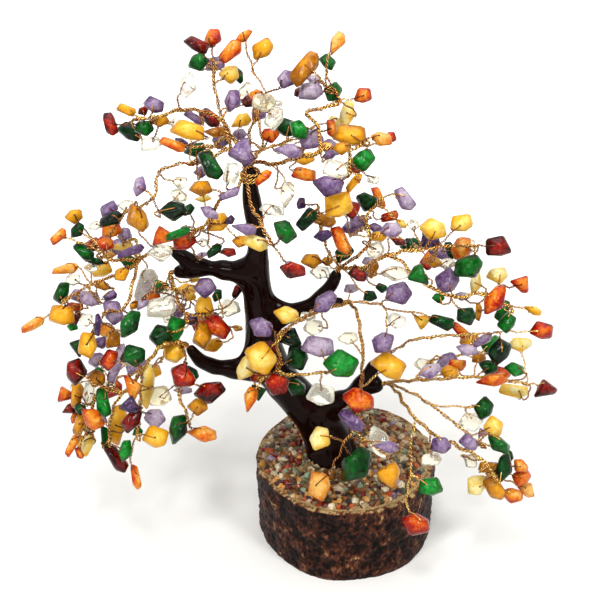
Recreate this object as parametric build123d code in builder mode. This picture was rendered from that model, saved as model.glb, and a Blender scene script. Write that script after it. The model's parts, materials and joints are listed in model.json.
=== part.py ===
from build123d import *
import math
import os

os.makedirs("parts", exist_ok=True)

# Gemstone tree ornament: a log slice with bark, a bed of crushed stone set in its top, a moulded
# trunk with four limbs, copper wire branches and some three hundred drilled stone chips.
# Millimetres, +Z up, origin at the centre of the log's underside.

# Log and bed
log_diameter = 80.0
log_height = 39.0
bark_thickness = 2.4
bark_roughness = 1.1
bark_taper = 1.6
rim_width = 2.8
recess_depth = 3.0
bed_rise = 0.5
grain_length = 4.2
grain_foot_clearance = 3.0
grain_count = 56

# Trunk, its rod in the log and the binding round its top
trunk_depth = 5.0
trunk_flats = 12
limb_flats = 9
rod_radius = 3.0
rod_in_log = 18.0
rod_in_trunk = 8.0
binding_wire = 0.8
binding_pitch = 1.5
binding_turns = 3
binding_clearance = 0.35

# Wire branches
twig_radius = 0.42
bundle_radius = 0.42
bundle_growth = 0.24
bundle_limit = 1.4
fork_spacing = 2.0
limb_grip = 5.0
grip_lead = 1.6

# Stone chips and canopy
canopy_half_depth = 60.0
layer_spacing = 7.5
front_layer_share = 0.5
chip_gap = 0.35

# Where the object is seen from: the chips and wires were placed by eye along these sight lines
eye_right = -20.4
eye_back = -405.0
eye_above_log = 323.4
view_pitch = 30.8
focal_pixels = 1134
centre_pixel = 300

look = Vector(0, math.cos(math.radians(view_pitch)), -math.sin(math.radians(view_pitch)))
view_up = Vector(0, math.sin(math.radians(view_pitch)), math.cos(math.radians(view_pitch)))
view_right = Vector(1, 0, 0)
eye = Vector(eye_right, eye_back, log_height + eye_above_log)


def sight_line(pixel_x, pixel_y):
    """Direction from the eye through a pixel, one unit deep along the view."""
    across = (pixel_x - centre_pixel) / focal_pixels
    down = (pixel_y - centre_pixel) / focal_pixels
    return look + view_right * across - view_up * down


def at_depth(pixel_x, pixel_y, depth):
    """Point where a sight line meets the upright plane Y = depth."""
    line = sight_line(pixel_x, pixel_y)
    return eye + line * ((depth - eye.Y) / line.Y)


def pixel_of(point):
    """Pixel where a point is seen."""
    offset = point - eye
    scale = focal_pixels / offset.dot(look)
    across = centre_pixel + offset.dot(view_right) * scale
    return across, centre_pixel - offset.dot(view_up) * scale


def pixel_size(point):
    """Size of one pixel at a point."""
    return (point - eye).dot(look) / focal_pixels


# Trunk sections: pixel centre and pixel width, from above the foot to the top
trunk_pixels = [
    (329, 436, 43), (319, 420, 43), (302, 402, 39), (284, 384, 35), (270, 363, 34),
    (262, 337, 32), (259, 305, 28), (258, 276, 24), (258, 250, 19), (255, 226, 17),
    (252, 203, 19), (250, 187, 15), (250, 167, 15),
]
trunk_foot_pixels = (329, 452, 42)

# Limb sections: pixel centre, pixel width, depth as a share of the canopy's half depth
limb_pixels_and_depth_shares = {
    "upper_left_limb": [
        (254, 273, 30, 0.08), (244, 272, 25, 0.09), (232, 271, 20, 0.11), (210, 268, 19, 0.14),
        (190, 262, 17, 0.18), (172, 249, 12, 0.20),
    ],
    "upper_left_prong": [(205, 269, 17, 0.15), (189, 271, 15, 0.18), (174, 272, 12, 0.20)],
    "upper_right_limb": [
        (262, 311, 36, 0.08), (274, 313, 27, 0.08), (288, 314, 20, 0.07), (305, 308, 16, 0.04),
        (321, 297, 15, 0.0), (332, 284, 13, -0.02), (338, 271, 12, -0.03),
    ],
    "upper_right_prong": [(312, 304, 12, 0.02), (328, 303, 11, -0.02), (345, 302, 10, -0.06)],
    "lower_left_limb": [
        (257, 366, 34, 0.06), (247, 368, 25, 0.03), (236, 370, 19, 0.0), (216, 367, 17, -0.06),
        (201, 361, 15, -0.10), (188, 346, 10, -0.13),
    ],
    "lower_right_limb": [
        (308, 405, 38, 0.06), (321, 405, 28, 0.05), (335, 402, 21, 0.03), (353, 394, 19, 0.0),
        (366, 380, 16, 0.0), (375, 362, 12, 0.0),
    ],
    "lower_right_prong": [(352, 394, 18, 0.0), (368, 387, 16, -0.02), (382, 384, 13, -0.04)],
}

# Wire branches by limb and by the limb's end that holds them: each fork has its pixel, its depth
# as a share of the canopy's half depth and the number of the fork it grows from, where 0 is the
# bundle's own end at the limb.
fork_pixels_and_depth_shares = {
    "crown": {
        "trunk_top": {
            "left": [
                (232, 150, 0.0, 0), (222, 120, 0.03, 1), (205, 112, 0.08, 2), (178, 110, 0.08, 3),
                (150, 118, 0.08, 4), (133, 120, 0.08, 5), (188, 146, -0.13, 1),
                (165, 143, -0.08, 7), (200, 162, -0.13, 1), (159, 172, -0.20, 9),
                (154, 197, -0.30, 10), (160, 216, -0.33, 11), (125, 212, 0.05, 11),
            ],
            "top": [
                (234, 140, 0.13, 0), (220, 112, 0.17, 1), (214, 85, 0.23, 2), (214, 60, 0.30, 3),
                (250, 130, 0.08, 0), (266, 93, 0.13, 5), (252, 71, 0.20, 6),
            ],
            "right": [
                (275, 164, 0.0, 0), (300, 157, -0.07, 1), (320, 151, -0.07, 2),
                (348, 150, -0.07, 3), (368, 140, 0.0, 4), (315, 122, 0.10, 3), (306, 113, 0.13, 6),
                (340, 100, 0.20, 7), (320, 80, 0.30, 8), (350, 175, -0.20, 4),
            ],
            "front": [
                (245, 158, -0.10, 0), (238, 188, -0.20, 1), (220, 200, -0.30, 2),
                (252, 208, -0.33, 1), (262, 225, -0.47, 4), (272, 245, -0.57, 5),
                (208, 222, -0.25, 3), (191, 236, -0.20, 7),
            ],
            "back": [
                (262, 150, 0.45, 0), (225, 138, 0.70, 1), (292, 140, 0.65, 1), (255, 105, 0.75, 1),
                (188, 165, 0.60, 2),
            ],
        },
    },
    "upper_left": {
        "upper_left_limb": {
            "far": [
                (141, 258, 0.13, 0), (128, 270, 0.08, 1), (107, 258, 0.08, 1), (95, 240, 0.20, 3),
                (100, 281, 0.0, 2), (88, 286, -0.03, 5), (62, 302, -0.03, 6), (122, 310, -0.20, 1),
                (105, 313, -0.13, 8), (92, 332, -0.20, 9), (130, 240, 0.60, 1), (95, 262, 0.50, 11),
            ],
        },
        "upper_left_prong": {
            "low": [
                (176, 290, 0.07, 0), (184, 312, -0.03, 1), (188, 326, -0.10, 2),
                (222, 318, 0.03, 2), (160, 281, 0.10, 1), (190, 300, 0.60, 0),
            ],
        },
    },
    "lower_left": {
        "lower_left_limb": {
            "all": [
                (160, 346, -0.23, 0), (143, 370, -0.30, 1), (122, 393, -0.33, 2),
                (100, 388, -0.25, 3), (92, 410, -0.27, 4), (86, 435, -0.30, 5),
                (109, 430, -0.40, 3), (110, 448, -0.43, 7), (140, 408, -0.43, 2),
                (137, 437, -0.50, 9), (185, 362, -0.25, 0), (178, 388, -0.33, 11),
                (190, 425, -0.47, 12), (150, 368, 0.42, 0), (105, 382, 0.42, 14),
            ],
        },
    },
    "front": {
        "upper_right_prong": {
            "hanging": [
                (357, 314, -0.23, 0), (363, 354, -0.37, 1), (361, 386, -0.43, 2),
                (355, 428, -0.53, 3), (343, 444, -0.50, 4), (388, 456, -0.66, 4),
                (385, 308, -0.13, 0), (387, 330, -0.23, 7), (414, 312, -0.13, 7),
            ],
            "bundle": [
                (320, 311, -0.27, 0), (300, 320, -0.33, 1), (277, 338, -0.37, 2),
                (278, 370, -0.40, 3), (258, 380, -0.42, 4), (330, 372, -0.42, 4),
            ],
        },
    },
    "upper_right": {
        "upper_right_limb": {
            "high": [
                (330, 255, -0.07, 0), (320, 225, -0.13, 1), (318, 205, -0.13, 2),
                (370, 240, -0.10, 0), (366, 216, 0.03, 4), (383, 198, 0.13, 5), (350, 235, 0.62, 4),
            ],
            "side": [
                (365, 268, -0.12, 0), (387, 255, -0.17, 1), (412, 250, -0.13, 2),
                (425, 249, -0.10, 3), (448, 246, -0.07, 4), (478, 246, 0.0, 5),
                (430, 287, -0.23, 2), (456, 297, -0.23, 7), (488, 294, -0.17, 8),
                (505, 286, -0.13, 9), (512, 309, -0.13, 9), (415, 245, 0.60, 3),
                (460, 255, 0.50, 12),
            ],
        },
    },
    "lower_right": {
        "lower_right_limb": {
            "high": [
                (392, 352, -0.10, 0), (412, 340, -0.17, 1), (440, 336, -0.20, 2),
                (478, 334, -0.23, 3), (500, 332, -0.20, 4),
            ],
        },
        "lower_right_prong": {
            "side": [
                (400, 381, -0.10, 0), (425, 380, -0.17, 1), (475, 377, -0.23, 2),
                (510, 381, -0.17, 3), (530, 385, -0.13, 4), (430, 404, -0.30, 0),
                (475, 407, -0.33, 6), (485, 448, -0.60, 6), (432, 360, 0.45, 2),
                (480, 352, 0.60, 9),
            ],
            "low": [
                (415, 418, -0.48, 0), (433, 434, -0.55, 1), (485, 462, -0.67, 2),
                (500, 482, -0.73, 3), (411, 440, -0.60, 1), (411, 472, -0.77, 5),
            ],
        },
    },
}

# Silhouettes that the stones are tumbled to, as shares of a chip's length and width
cut_shares = {
    "bar": [(-0.50, -0.20), (-0.38, 0.50), (0.42, 0.42), (0.50, -0.10), (0.26, -0.50)],
    "tri": [(-0.50, -0.42), (-0.12, 0.30), (0.05, 0.50), (0.50, -0.28), (0.30, -0.50)],
    "quad": [(-0.50, -0.34), (-0.36, 0.48), (0.40, 0.50), (0.50, -0.20), (0.08, -0.50)],
    "pent": [(-0.50, 0.02), (-0.20, 0.50), (0.38, 0.40), (0.50, -0.12), (0.02, -0.50)],
    "oval": [(-0.50, 0.10), (-0.10, 0.50), (0.40, 0.36), (0.50, -0.14), (-0.06, -0.50)],
    "drop": [(-0.50, 0.02), (0.12, 0.50), (0.46, 0.28), (0.50, -0.24), (0.16, -0.50)],
}
chip_face_share = 0.58
thickness_width_share = 0.52
thickness_length_share = 0.16
tilt_step = 7.0

# Chips by limb and stone: pixel centre, pixel length and width, turn in degrees, layer from the
# front to the back, silhouette
chip_pixels = {
    "crown": {
        "amethyst": [
            (154, 105, 20, 13, -25, 1, "quad"), (194, 118, 22, 9, -25, 1, "bar"),
            (243, 150, 28, 24, -20, 0, "tri"), (239, 135, 15, 13, 20, 2, "pent"),
            (201, 172, 15, 13, 10, 2, "oval"), (215, 65, 18, 14, 10, 2, "quad"),
            (233, 101, 24, 17, 80, 0, "oval"), (286, 80, 19, 15, 60, 1, "pent"),
            (314, 80, 14, 10, 0, 3, "oval"), (311, 140, 24, 18, 20, 2, "quad"),
            (288, 151, 28, 15, -5, 0, "drop"), (329, 156, 14, 9, 20, 2, "oval"),
            (328, 186, 30, 20, -15, 0, "pent"), (140, 187, 21, 14, 80, 1, "oval"),
            (109, 210, 19, 14, 30, 2, "quad"), (230, 194, 20, 9, 30, 0, "bar"),
            (209, 213, 20, 12, -30, 0, "oval"), (244, 229, 26, 13, -10, 0, "drop"),
            (230, 221, 11, 8, 40, 1, "pent"), (222, 140, 20, 15, 40, 5, "quad"),
            (258, 112, 22, 16, 70, 5, "oval"), (330, 148, 22, 16, -30, 5, "pent"),
            (310, 91, 24, 16, 10, 0, "quad"), (181, 143, 15, 9, -30, 2, "oval"),
            (202, 255, 12, 6, 10, 3, "oval"), (206, 160, 20, 14, 20, 5, "pent"),
        ],
        "aventurine": [
            (130, 132, 24, 14, -35, 2, "quad"), (144, 129, 19, 16, 10, 1, "pent"),
            (209, 165, 32, 17, -55, 0, "bar"), (198, 63, 20, 19, 20, 0, "pent"),
            (238, 75, 16, 10, -70, 3, "oval"), (327, 62, 17, 12, -45, 1, "quad"),
            (333, 92, 19, 17, 30, 1, "quad"), (298, 130, 22, 18, -40, 0, "pent"),
            (362, 161, 27, 22, 20, 1, "oval"), (111, 220, 24, 12, 25, 1, "bar"),
            (174, 211, 28, 20, 10, 0, "oval"), (188, 210, 13, 9, 30, 3, "quad"),
            (178, 234, 25, 9, 25, 0, "bar"), (284, 232, 23, 17, -60, 0, "quad"),
            (214, 251, 17, 9, 45, 1, "bar"), (196, 150, 22, 15, 20, 5, "oval"),
            (288, 128, 22, 16, -20, 5, "quad"),
            (190, 131, 20, 14, -20, 5, "oval"), (265, 104, 18, 14, 30, 5, "quad"),
        ],
        "yellow": [
            (126, 110, 20, 10, -15, 1, "bar"), (160, 121, 17, 12, 10, 1, "oval"),
            (188, 131, 32, 18, -20, 0, "quad"), (216, 133, 26, 9, 0, 3, "oval"),
            (201, 189, 22, 16, 10, 1, "pent"), (263, 49, 22, 16, 25, 1, "quad"),
            (229, 75, 21, 20, 0, 1, "pent"), (306, 69, 36, 18, 55, 0, "bar"),
            (348, 115, 28, 15, 80, 3, "oval"), (335, 124, 16, 14, 0, 3, "pent"),
            (350, 136, 30, 19, -10, 1, "quad"), (341, 149, 17, 13, 0, 0, "pent"),
            (354, 183, 22, 8, 50, 1, "bar"), (137, 219, 30, 20, -60, 0, "oval"),
            (217, 223, 21, 17, 20, 1, "quad"), (240, 242, 15, 12, 0, 2, "oval"),
            (255, 243, 26, 15, -15, 0, "bar"), (240, 122, 22, 14, 30, 5, "drop"),
            (304, 160, 22, 15, 10, 5, "oval"),
            (203, 199, 16, 8, 10, 3, "oval"), (287, 186, 13, 8, 20, 2, "pent"),
            (233, 102, 18, 13, 60, 5, "oval"),
        ],
        "carnelian": [
            (110, 124, 24, 13, -68, 1, "bar"), (172, 145, 27, 10, -20, 0, "bar"),
            (263, 178, 20, 9, 45, -1, "bar"), (196, 45, 25, 14, -30, 0, "quad"),
            (213, 39, 22, 18, 70, 1, "pent"), (231, 52, 27, 14, 50, 0, "bar"),
            (244, 37, 20, 10, 35, 1, "oval"), (255, 95, 14, 9, 40, 1, "pent"),
            (337, 44, 25, 14, 65, 0, "drop"), (308, 92, 29, 12, 8, 0, "bar"),
            (363, 96, 16, 14, 0, 1, "quad"), (331, 128, 17, 10, -75, 2, "bar"),
            (381, 139, 20, 15, -10, 0, "oval"), (326, 147, 15, 9, 0, 1, "pent"),
            (304, 175, 24, 14, -15, 1, "quad"), (162, 235, 25, 19, 20, 0, "tri"),
            (184, 242, 23, 14, 15, 1, "quad"), (228, 253, 16, 10, 0, 1, "pent"),
            (292, 270, 25, 16, -12, 0, "oval"), (210, 118, 22, 14, -35, 5, "bar"),
            (270, 136, 20, 15, 15, 5, "pent"),
            (143, 111, 11, 9, 30, 2, "pent"), (248, 102, 12, 10, -30, 2, "quad"),
            (391, 138, 14, 11, 80, 1, "oval"), (355, 169, 11, 8, -30, 2, "quad"),
            (243, 153, 18, 14, 30, 5, "pent"), (309, 138, 20, 13, -20, 5, "quad"),
        ],
        "quartz": [
            (151, 144, 22, 12, 10, 2, "quad"), (176, 124, 14, 12, 0, 3, "oval"),
            (180, 183, 16, 14, 0, 1, "pent"), (178, 196, 18, 13, -20, 1, "oval"),
            (232, 173, 22, 16, 80, 0, "quad"), (188, 86, 28, 16, 80, 0, "oval"),
            (263, 103, 24, 20, 10, 0, "pent"), (275, 118, 22, 14, 60, 0, "quad"),
            (276, 105, 14, 10, 0, 2, "oval"), (287, 197, 26, 17, 80, 0, "drop"),
            (336, 170, 26, 18, -15, 1, "quad"), (373, 180, 12, 8, 0, 1, "bar"),
            (203, 243, 12, 10, 0, 2, "pent"), (160, 253, 24, 16, 10, 2, "oval"),
            (272, 210, 24, 11, -15, 1, "quad"), (246, 92, 20, 15, 60, 5, "oval"),
            (288, 151, 20, 13, 0, 5, "drop"),
        ],
    },
    "upper_left": {
        "amethyst": [
            (125, 235, 16, 13, 80, 3, "oval"), (131, 252, 28, 9, 20, 0, "bar"),
            (85, 298, 30, 14, -15, 1, "bar"), (113, 312, 24, 17, -70, 1, "quad"),
            (110, 296, 15, 9, 30, 2, "bar"), (98, 325, 22, 7, 88, 0, "bar"),
            (101, 343, 14, 13, 20, 2, "pent"), (205, 288, 22, 20, 15, 0, "oval"),
            (191, 320, 14, 10, 0, 2, "oval"), (141, 303, 12, 10, 30, 2, "tri"),
            (116, 248, 20, 14, 30, 5, "quad"), (178, 312, 20, 14, 60, 5, "oval"),
            (148, 288, 20, 14, 70, 5, "quad"),
        ],
        "aventurine": [
            (78, 231, 18, 12, 50, 1, "oval"), (83, 252, 23, 13, -35, 1, "bar"),
            (62, 293, 23, 13, 65, 1, "quad"), (72, 327, 11, 9, 0, 2, "oval"),
            (130, 325, 32, 18, 60, 0, "oval"), (77, 346, 22, 14, 70, 1, "tri"),
            (175, 330, 26, 18, 65, 1, "quad"), (160, 337, 25, 24, 0, 0, "pent"),
            (160, 285, 17, 14, 35, 1, "tri"), (128, 262, 22, 15, -20, 5, "pent"),
            (94, 261, 18, 7, -10, 2, "bar"), (218, 296, 14, 10, 70, 2, "oval"),
            (162, 308, 20, 14, 10, 5, "pent"),
        ],
        "yellow": [
            (74, 217, 19, 15, 10, 1, "oval"), (121, 275, 16, 14, 40, 0, "oval"),
            (102, 286, 15, 9, -10, 2, "bar"), (61, 316, 26, 19, -5, 0, "quad"),
            (113, 341, 20, 16, 60, 1, "oval"), (88, 345, 25, 17, 75, 0, "quad"),
            (190, 297, 12, 10, 0, 3, "pent"), (205, 308, 24, 19, 75, 1, "pent"),
            (203, 336, 25, 18, 75, 1, "quad"), (213, 346, 20, 15, 20, 3, "pent"),
            (101, 270, 20, 14, 10, 5, "quad"), (186, 290, 20, 15, 0, 5, "oval"),
            (123, 247, 18, 8, 5, 3, "bar"), (134, 305, 12, 8, 60, 2, "oval"),
            (194, 279, 13, 7, 0, 3, "oval"), (88, 297, 18, 12, -15, 5, "quad"),
        ],
        "carnelian": [
            (59, 237, 20, 10, 45, 0, "bar"), (111, 231, 19, 13, 10, 2, "quad"),
            (105, 244, 20, 13, -10, 0, "pent"), (66, 269, 27, 9, 15, 1, "bar"),
            (33, 325, 25, 10, 35, 0, "bar"), (107, 331, 17, 14, -15, 2, "quad"),
            (217, 327, 28, 17, -50, 0, "quad"), (213, 317, 12, 10, 0, 2, "oval"),
            (92, 246, 20, 14, 30, 5, "oval"), (200, 322, 20, 14, 40, 5, "quad"),
            (108, 256, 13, 9, 10, 2, "pent"), (75, 307, 17, 9, -10, 2, "quad"),
            (77, 318, 14, 7, 80, 1, "bar"), (153, 297, 14, 9, 20, 2, "quad"),
            (238, 291, 16, 9, 65, 2, "bar"), (237, 328, 11, 7, -10, 2, "oval"),
            (205, 307, 18, 13, 70, 5, "oval"),
        ],
        "quartz": [
            (127, 207, 20, 13, 0, 2, "oval"), (91, 268, 15, 10, 0, 2, "pent"),
            (86, 320, 15, 14, 0, 2, "pent"), (228, 308, 22, 17, 0, 3, "oval"),
            (161, 307, 29, 21, 10, 0, "quad"), (168, 318, 16, 12, -30, 2, "oval"),
            (147, 287, 36, 20, 80, 3, "bar"), (172, 296, 20, 14, 10, 5, "oval"),
            (95, 226, 14, 10, 30, 3, "oval"), (73, 280, 15, 10, 0, 2, "quad"),
        ],
    },
    "lower_left": {
        "amethyst": [
            (96, 360, 17, 15, 20, 2, "oval"), (117, 364, 40, 11, 72, 1, "bar"),
            (130, 402, 19, 17, -10, 0, "tri"), (154, 419, 22, 21, 10, 1, "oval"),
            (136, 366, 22, 15, 30, 5, "quad"),
            (103, 421, 12, 8, 80, 2, "oval"), (183, 391, 18, 8, 0, 1, "oval"),
        ],
        "aventurine": [
            (134, 355, 22, 21, -10, 0, "quad"), (102, 403, 28, 14, -78, 0, "bar"),
            (80, 409, 13, 12, 0, 1, "oval"), (105, 439, 26, 8, -80, 1, "bar"),
            (138, 432, 11, 10, 40, 2, "oval"), (126, 451, 23, 13, 78, 0, "oval"),
            (192, 372, 17, 11, -55, 2, "drop"), (178, 430, 29, 21, 80, 0, "oval"),
            (98, 378, 22, 15, 70, 5, "oval"),
            (88, 427, 13, 9, 60, 2, "quad"),
        ],
        "yellow": [
            (95, 379, 20, 18, -20, 1, "pent"), (77, 396, 27, 12, 85, 1, "bar"),
            (147, 387, 42, 13, 85, 2, "bar"), (80, 425, 25, 11, 70, 1, "quad"),
            (88, 444, 23, 10, 70, 1, "bar"), (117, 425, 37, 16, 85, 1, "bar"),
            (156, 437, 22, 18, -20, 0, "quad"), (174, 353, 22, 20, 10, 0, "quad"),
            (198, 407, 20, 17, 0, 1, "oval"), (150, 372, 22, 15, 0, 5, "pent"),
            (82, 443, 15, 7, 75, 2, "bar"),
        ],
        "carnelian": [
            (110, 360, 21, 14, 55, 0, "quad"), (76, 372, 26, 21, 85, 0, "pent"),
            (64, 393, 17, 15, 20, 2, "tri"), (69, 408, 13, 11, 0, 2, "tri"),
            (93, 419, 24, 15, -65, -1, "quad"), (72, 446, 23, 8, 65, 0, "bar"),
            (79, 453, 12, 7, -60, 0, "bar"), (134, 386, 29, 15, -70, 0, "tri"),
            (131, 421, 25, 15, 50, 0, "quad"), (116, 459, 29, 14, -52, 0, "bar"),
            (136, 477, 24, 8, -78, 0, "bar"), (182, 377, 28, 25, -30, 0, "pent"),
            (209, 392, 31, 21, 15, 0, "oval"), (201, 434, 31, 16, -5, 0, "drop"),
            (112, 390, 22, 15, 40, 5, "bar"),
            (75, 418, 13, 8, 70, 2, "oval"), (135, 355, 16, 14, 10, 5, "pent"),
        ],
        "quartz": [
            (90, 394, 25, 16, 75, 1, "oval"), (160, 397, 23, 20, 10, 2, "quad"),
            (108, 384, 14, 10, 0, 3, "oval"), (80, 384, 20, 14, 60, 5, "quad"),
            (172, 354, 16, 14, 20, 5, "oval"),
        ],
    },
    "front": {
        "amethyst": [
            (325, 303, 28, 17, 38, 0, "oval"), (351, 289, 14, 10, 0, 3, "quad"),
            (318, 347, 31, 19, -12, 1, "quad"), (260, 328, 25, 19, -25, 0, "pent"),
            (351, 421, 28, 13, -36, 0, "bar"), (386, 447, 25, 13, -5, 0, "drop"),
            (383, 344, 24, 21, 50, 0, "oval"), (398, 295, 26, 22, 25, 0, "pent"),
        ],
        "aventurine": [
            (291, 336, 24, 19, -15, 1, "tri"), (298, 357, 26, 21, 80, 1, "quad"),
            (291, 375, 15, 12, 0, 2, "oval"), (296, 388, 20, 16, -20, 1, "pent"),
            (260, 391, 17, 13, -70, 1, "tri"), (341, 364, 32, 25, -35, 0, "quad"),
            (357, 466, 40, 29, 52, 0, "oval"), (442, 323, 24, 13, -15, 0, "bar"),
        ],
        "yellow": [
            (287, 315, 25, 19, -10, 0, "oval"), (261, 358, 31, 24, -50, 0, "quad"),
            (246, 369, 25, 18, 60, 1, "pent"), (320, 439, 24, 20, 60, 0, "pent"),
            (388, 475, 27, 21, 85, 0, "tri"), (389, 366, 32, 22, -35, 1, "quad"),
            (424, 320, 18, 16, -60, 1, "tri"),
        ],
        "carnelian": [
            (270, 347, 17, 12, -45, 1, "quad"), (257, 378, 13, 9, 20, 2, "bar"),
            (275, 385, 27, 23, -20, 0, "pent"), (250, 400, 25, 13, 75, 0, "drop"),
            (320, 486, 27, 21, 75, 0, "quad"), (358, 401, 30, 24, -15, 0, "pent"),
        ],
        "quartz": [
            (308, 317, 16, 10, 0, 1, "bar"), (313, 328, 21, 16, 0, 2, "pent"),
            (321, 396, 26, 19, -12, 0, "quad"), (378, 443, 36, 22, -58, 1, "oval"),
            (396, 321, 21, 17, -20, 1, "pent"),
            (348, 339, 20, 14, 10, 1, "oval"),
        ],
    },
    "upper_right": {
        "amethyst": [
            (301, 204, 13, 9, 70, 1, "oval"), (404, 199, 26, 14, -55, 0, "bar"),
            (358, 222, 18, 14, 10, 1, "quad"), (323, 236, 18, 13, 15, 0, "oval"),
            (391, 231, 22, 18, 10, 1, "pent"), (430, 242, 19, 13, 0, 2, "quad"),
            (368, 262, 13, 9, 0, 2, "pent"), (447, 282, 24, 21, 30, 1, "quad"),
            (352, 228, 22, 15, 20, 5, "oval"), (440, 252, 22, 15, -20, 5, "quad"),
            (375, 228, 15, 9, -10, 2, "oval"), (462, 296, 15, 9, 0, 3, "oval"),
            (338, 208, 18, 14, 0, 5, "quad"),
        ],
        "aventurine": [
            (308, 220, 24, 15, 55, 0, "bar"), (367, 202, 22, 18, -20, 1, "pent"),
            (344, 253, 20, 14, 30, 1, "quad"), (409, 244, 13, 7, -70, 1, "bar"),
            (417, 274, 22, 19, -10, 0, "tri"), (468, 268, 30, 22, 30, 0, "pent"),
            (466, 317, 21, 18, 20, 0, "pent"), (503, 311, 22, 12, 65, 2, "bar"),
            (507, 323, 21, 16, 50, 0, "quad"), (410, 246, 22, 15, 10, 5, "pent"),
            (450, 250, 18, 9, -65, 2, "bar"), (382, 288, 12, 10, 0, 2, "pent"),
            (370, 296, 13, 11, 0, 2, "quad"), (438, 298, 13, 9, 10, 2, "oval"),
            (432, 232, 20, 14, 20, 5, "oval"),
        ],
        "yellow": [
            (338, 206, 26, 24, 10, 0, "quad"), (324, 221, 22, 14, 0, 1, "bar"),
            (433, 230, 28, 22, -10, 1, "oval"), (311, 261, 19, 15, 10, 1, "pent"),
            (373, 270, 17, 9, 70, 2, "bar"), (462, 223, 21, 16, 5, 1, "quad"),
            (434, 263, 14, 12, 0, 2, "oval"), (476, 283, 27, 12, 80, 3, "oval"),
            (497, 276, 21, 17, 10, 2, "pent"), (532, 310, 19, 9, -18, 1, "drop"),
            (380, 236, 22, 15, 30, 5, "oval"),
            (401, 224, 12, 8, -40, 2, "oval"), (327, 262, 12, 9, 0, 2, "pent"),
            (479, 312, 17, 7, 88, 2, "bar"), (461, 250, 18, 13, 30, 5, "pent"),
        ],
        "carnelian": [
            (378, 198, 24, 9, -65, 2, "bar"), (353, 210, 18, 13, 60, 0, "quad"),
            (340, 240, 28, 14, -60, 0, "bar"), (398, 242, 14, 8, -20, 0, "oval"),
            (358, 275, 19, 12, -30, 0, "quad"), (462, 249, 25, 20, 60, 0, "pent"),
            (497, 247, 24, 19, 10, 0, "quad"), (522, 282, 20, 16, -40, 0, "tri"),
            (495, 301, 30, 18, 60, 0, "oval"), (430, 260, 20, 15, 60, 5, "bar"),
            (390, 217, 18, 10, 20, 1, "bar"), (446, 280, 16, 14, -20, 5, "quad"),
            (391, 231, 16, 13, 20, 5, "oval"),
        ],
        "quartz": [
            (413, 225, 13, 11, 0, 2, "pent"), (375, 250, 18, 15, 20, 1, "quad"),
            (320, 273, 20, 14, 0, 2, "oval"), (395, 274, 27, 15, 0, 2, "oval"),
            (447, 264, 16, 13, 0, 2, "oval"), (466, 246, 20, 14, 0, 5, "oval"),
            (467, 268, 18, 14, 30, 5, "pent"),
        ],
    },
    "lower_right": {
        "amethyst": [
            (483, 340, 22, 9, 32, 1, "bar"), (467, 350, 23, 12, -10, 0, "oval"),
            (430, 371, 25, 15, 20, 0, "oval"), (482, 432, 11, 9, 20, 2, "tri"),
            (469, 443, 20, 14, -32, 0, "quad"), (441, 446, 20, 18, 20, 0, "pent"),
            (446, 362, 22, 15, 20, 5, "oval"),
            (498, 353, 18, 13, 45, 5, "quad"),
        ],
        "aventurine": [
            (499, 352, 27, 20, 45, 0, "quad"), (489, 367, 19, 14, -10, 1, "oval"),
            (514, 370, 19, 15, -15, 0, "pent"), (484, 409, 20, 16, 40, 0, "quad"),
            (498, 445, 25, 16, -35, 0, "oval"), (504, 468, 29, 16, 80, 0, "oval"),
            (430, 487, 22, 18, 5, 0, "quad"), (492, 345, 22, 15, 40, 5, "bar"),
            (508, 455, 14, 9, -60, 1, "oval"), (490, 379, 18, 11, 5, 5, "oval"),
        ],
        "yellow": [
            (520, 345, 25, 14, 5, 3, "pent"), (513, 391, 29, 14, -5, 2, "bar"),
            (449, 373, 20, 14, -10, 1, "oval"), (493, 427, 20, 17, 50, 1, "quad"),
            (489, 468, 20, 13, 0, 1, "bar"), (477, 485, 22, 20, 10, 1, "quad"),
            (494, 488, 26, 17, -50, 0, "bar"), (470, 340, 20, 15, 0, 5, "quad"),
            (479, 358, 14, 9, 0, 2, "quad"), (431, 371, 18, 11, 20, 5, "pent"),
        ],
        "carnelian": [
            (460, 331, 23, 10, -37, 0, "bar"), (542, 331, 22, 16, -20, 0, "quad"),
            (457, 365, 19, 11, 0, 1, "bar"), (491, 380, 31, 14, 5, 0, "drop"),
            (544, 387, 25, 19, 15, 0, "tri"), (520, 466, 18, 13, -35, 1, "oval"),
            (522, 478, 19, 15, 30, 1, "quad"), (527, 488, 19, 13, -35, 2, "tri"),
            (512, 496, 22, 15, -10, 0, "oval"), (415, 525, 28, 22, -15, 0, "oval"),
            (500, 375, 20, 15, 0, 5, "oval"),
        ],
        "quartz": [
            (471, 423, 25, 20, 10, 1, "pent"), (431, 460, 20, 12, 10, 1, "bar"),
            (470, 461, 16, 13, -30, 2, "oval"), (424, 366, 20, 15, 0, 5, "pent"),
        ],
    },
}


class Fork:
    """A fork in a wire branch: where it is, the fork it grows from and the chips beyond it."""

    def __init__(self, place, parent):
        self.place = place
        self.pixel = pixel_of(place)
        self.distance = (place - eye).dot(look)
        self.parent = parent
        self.wires = 0
        self.chips = []

    def carry(self):
        """Count one more wire here and in every bundle back to the limb."""
        self.wires += 1
        if self.parent:
            self.parent.carry()

    def radius(self):
        """A bundle grows with the root of the number of wires in it."""
        return min(bundle_limit, bundle_radius + bundle_growth * math.sqrt(self.wires))

    def leave(self, chip):
        """Where a chip's wire leaves: the wires part one after another along the bundle."""
        if not self.parent:
            return self.place
        back = self.parent.place - self.place
        steps = self.chips.index(chip)
        return self.place + back.normalized() * min(steps * fork_spacing, back.length * 0.7)


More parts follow.
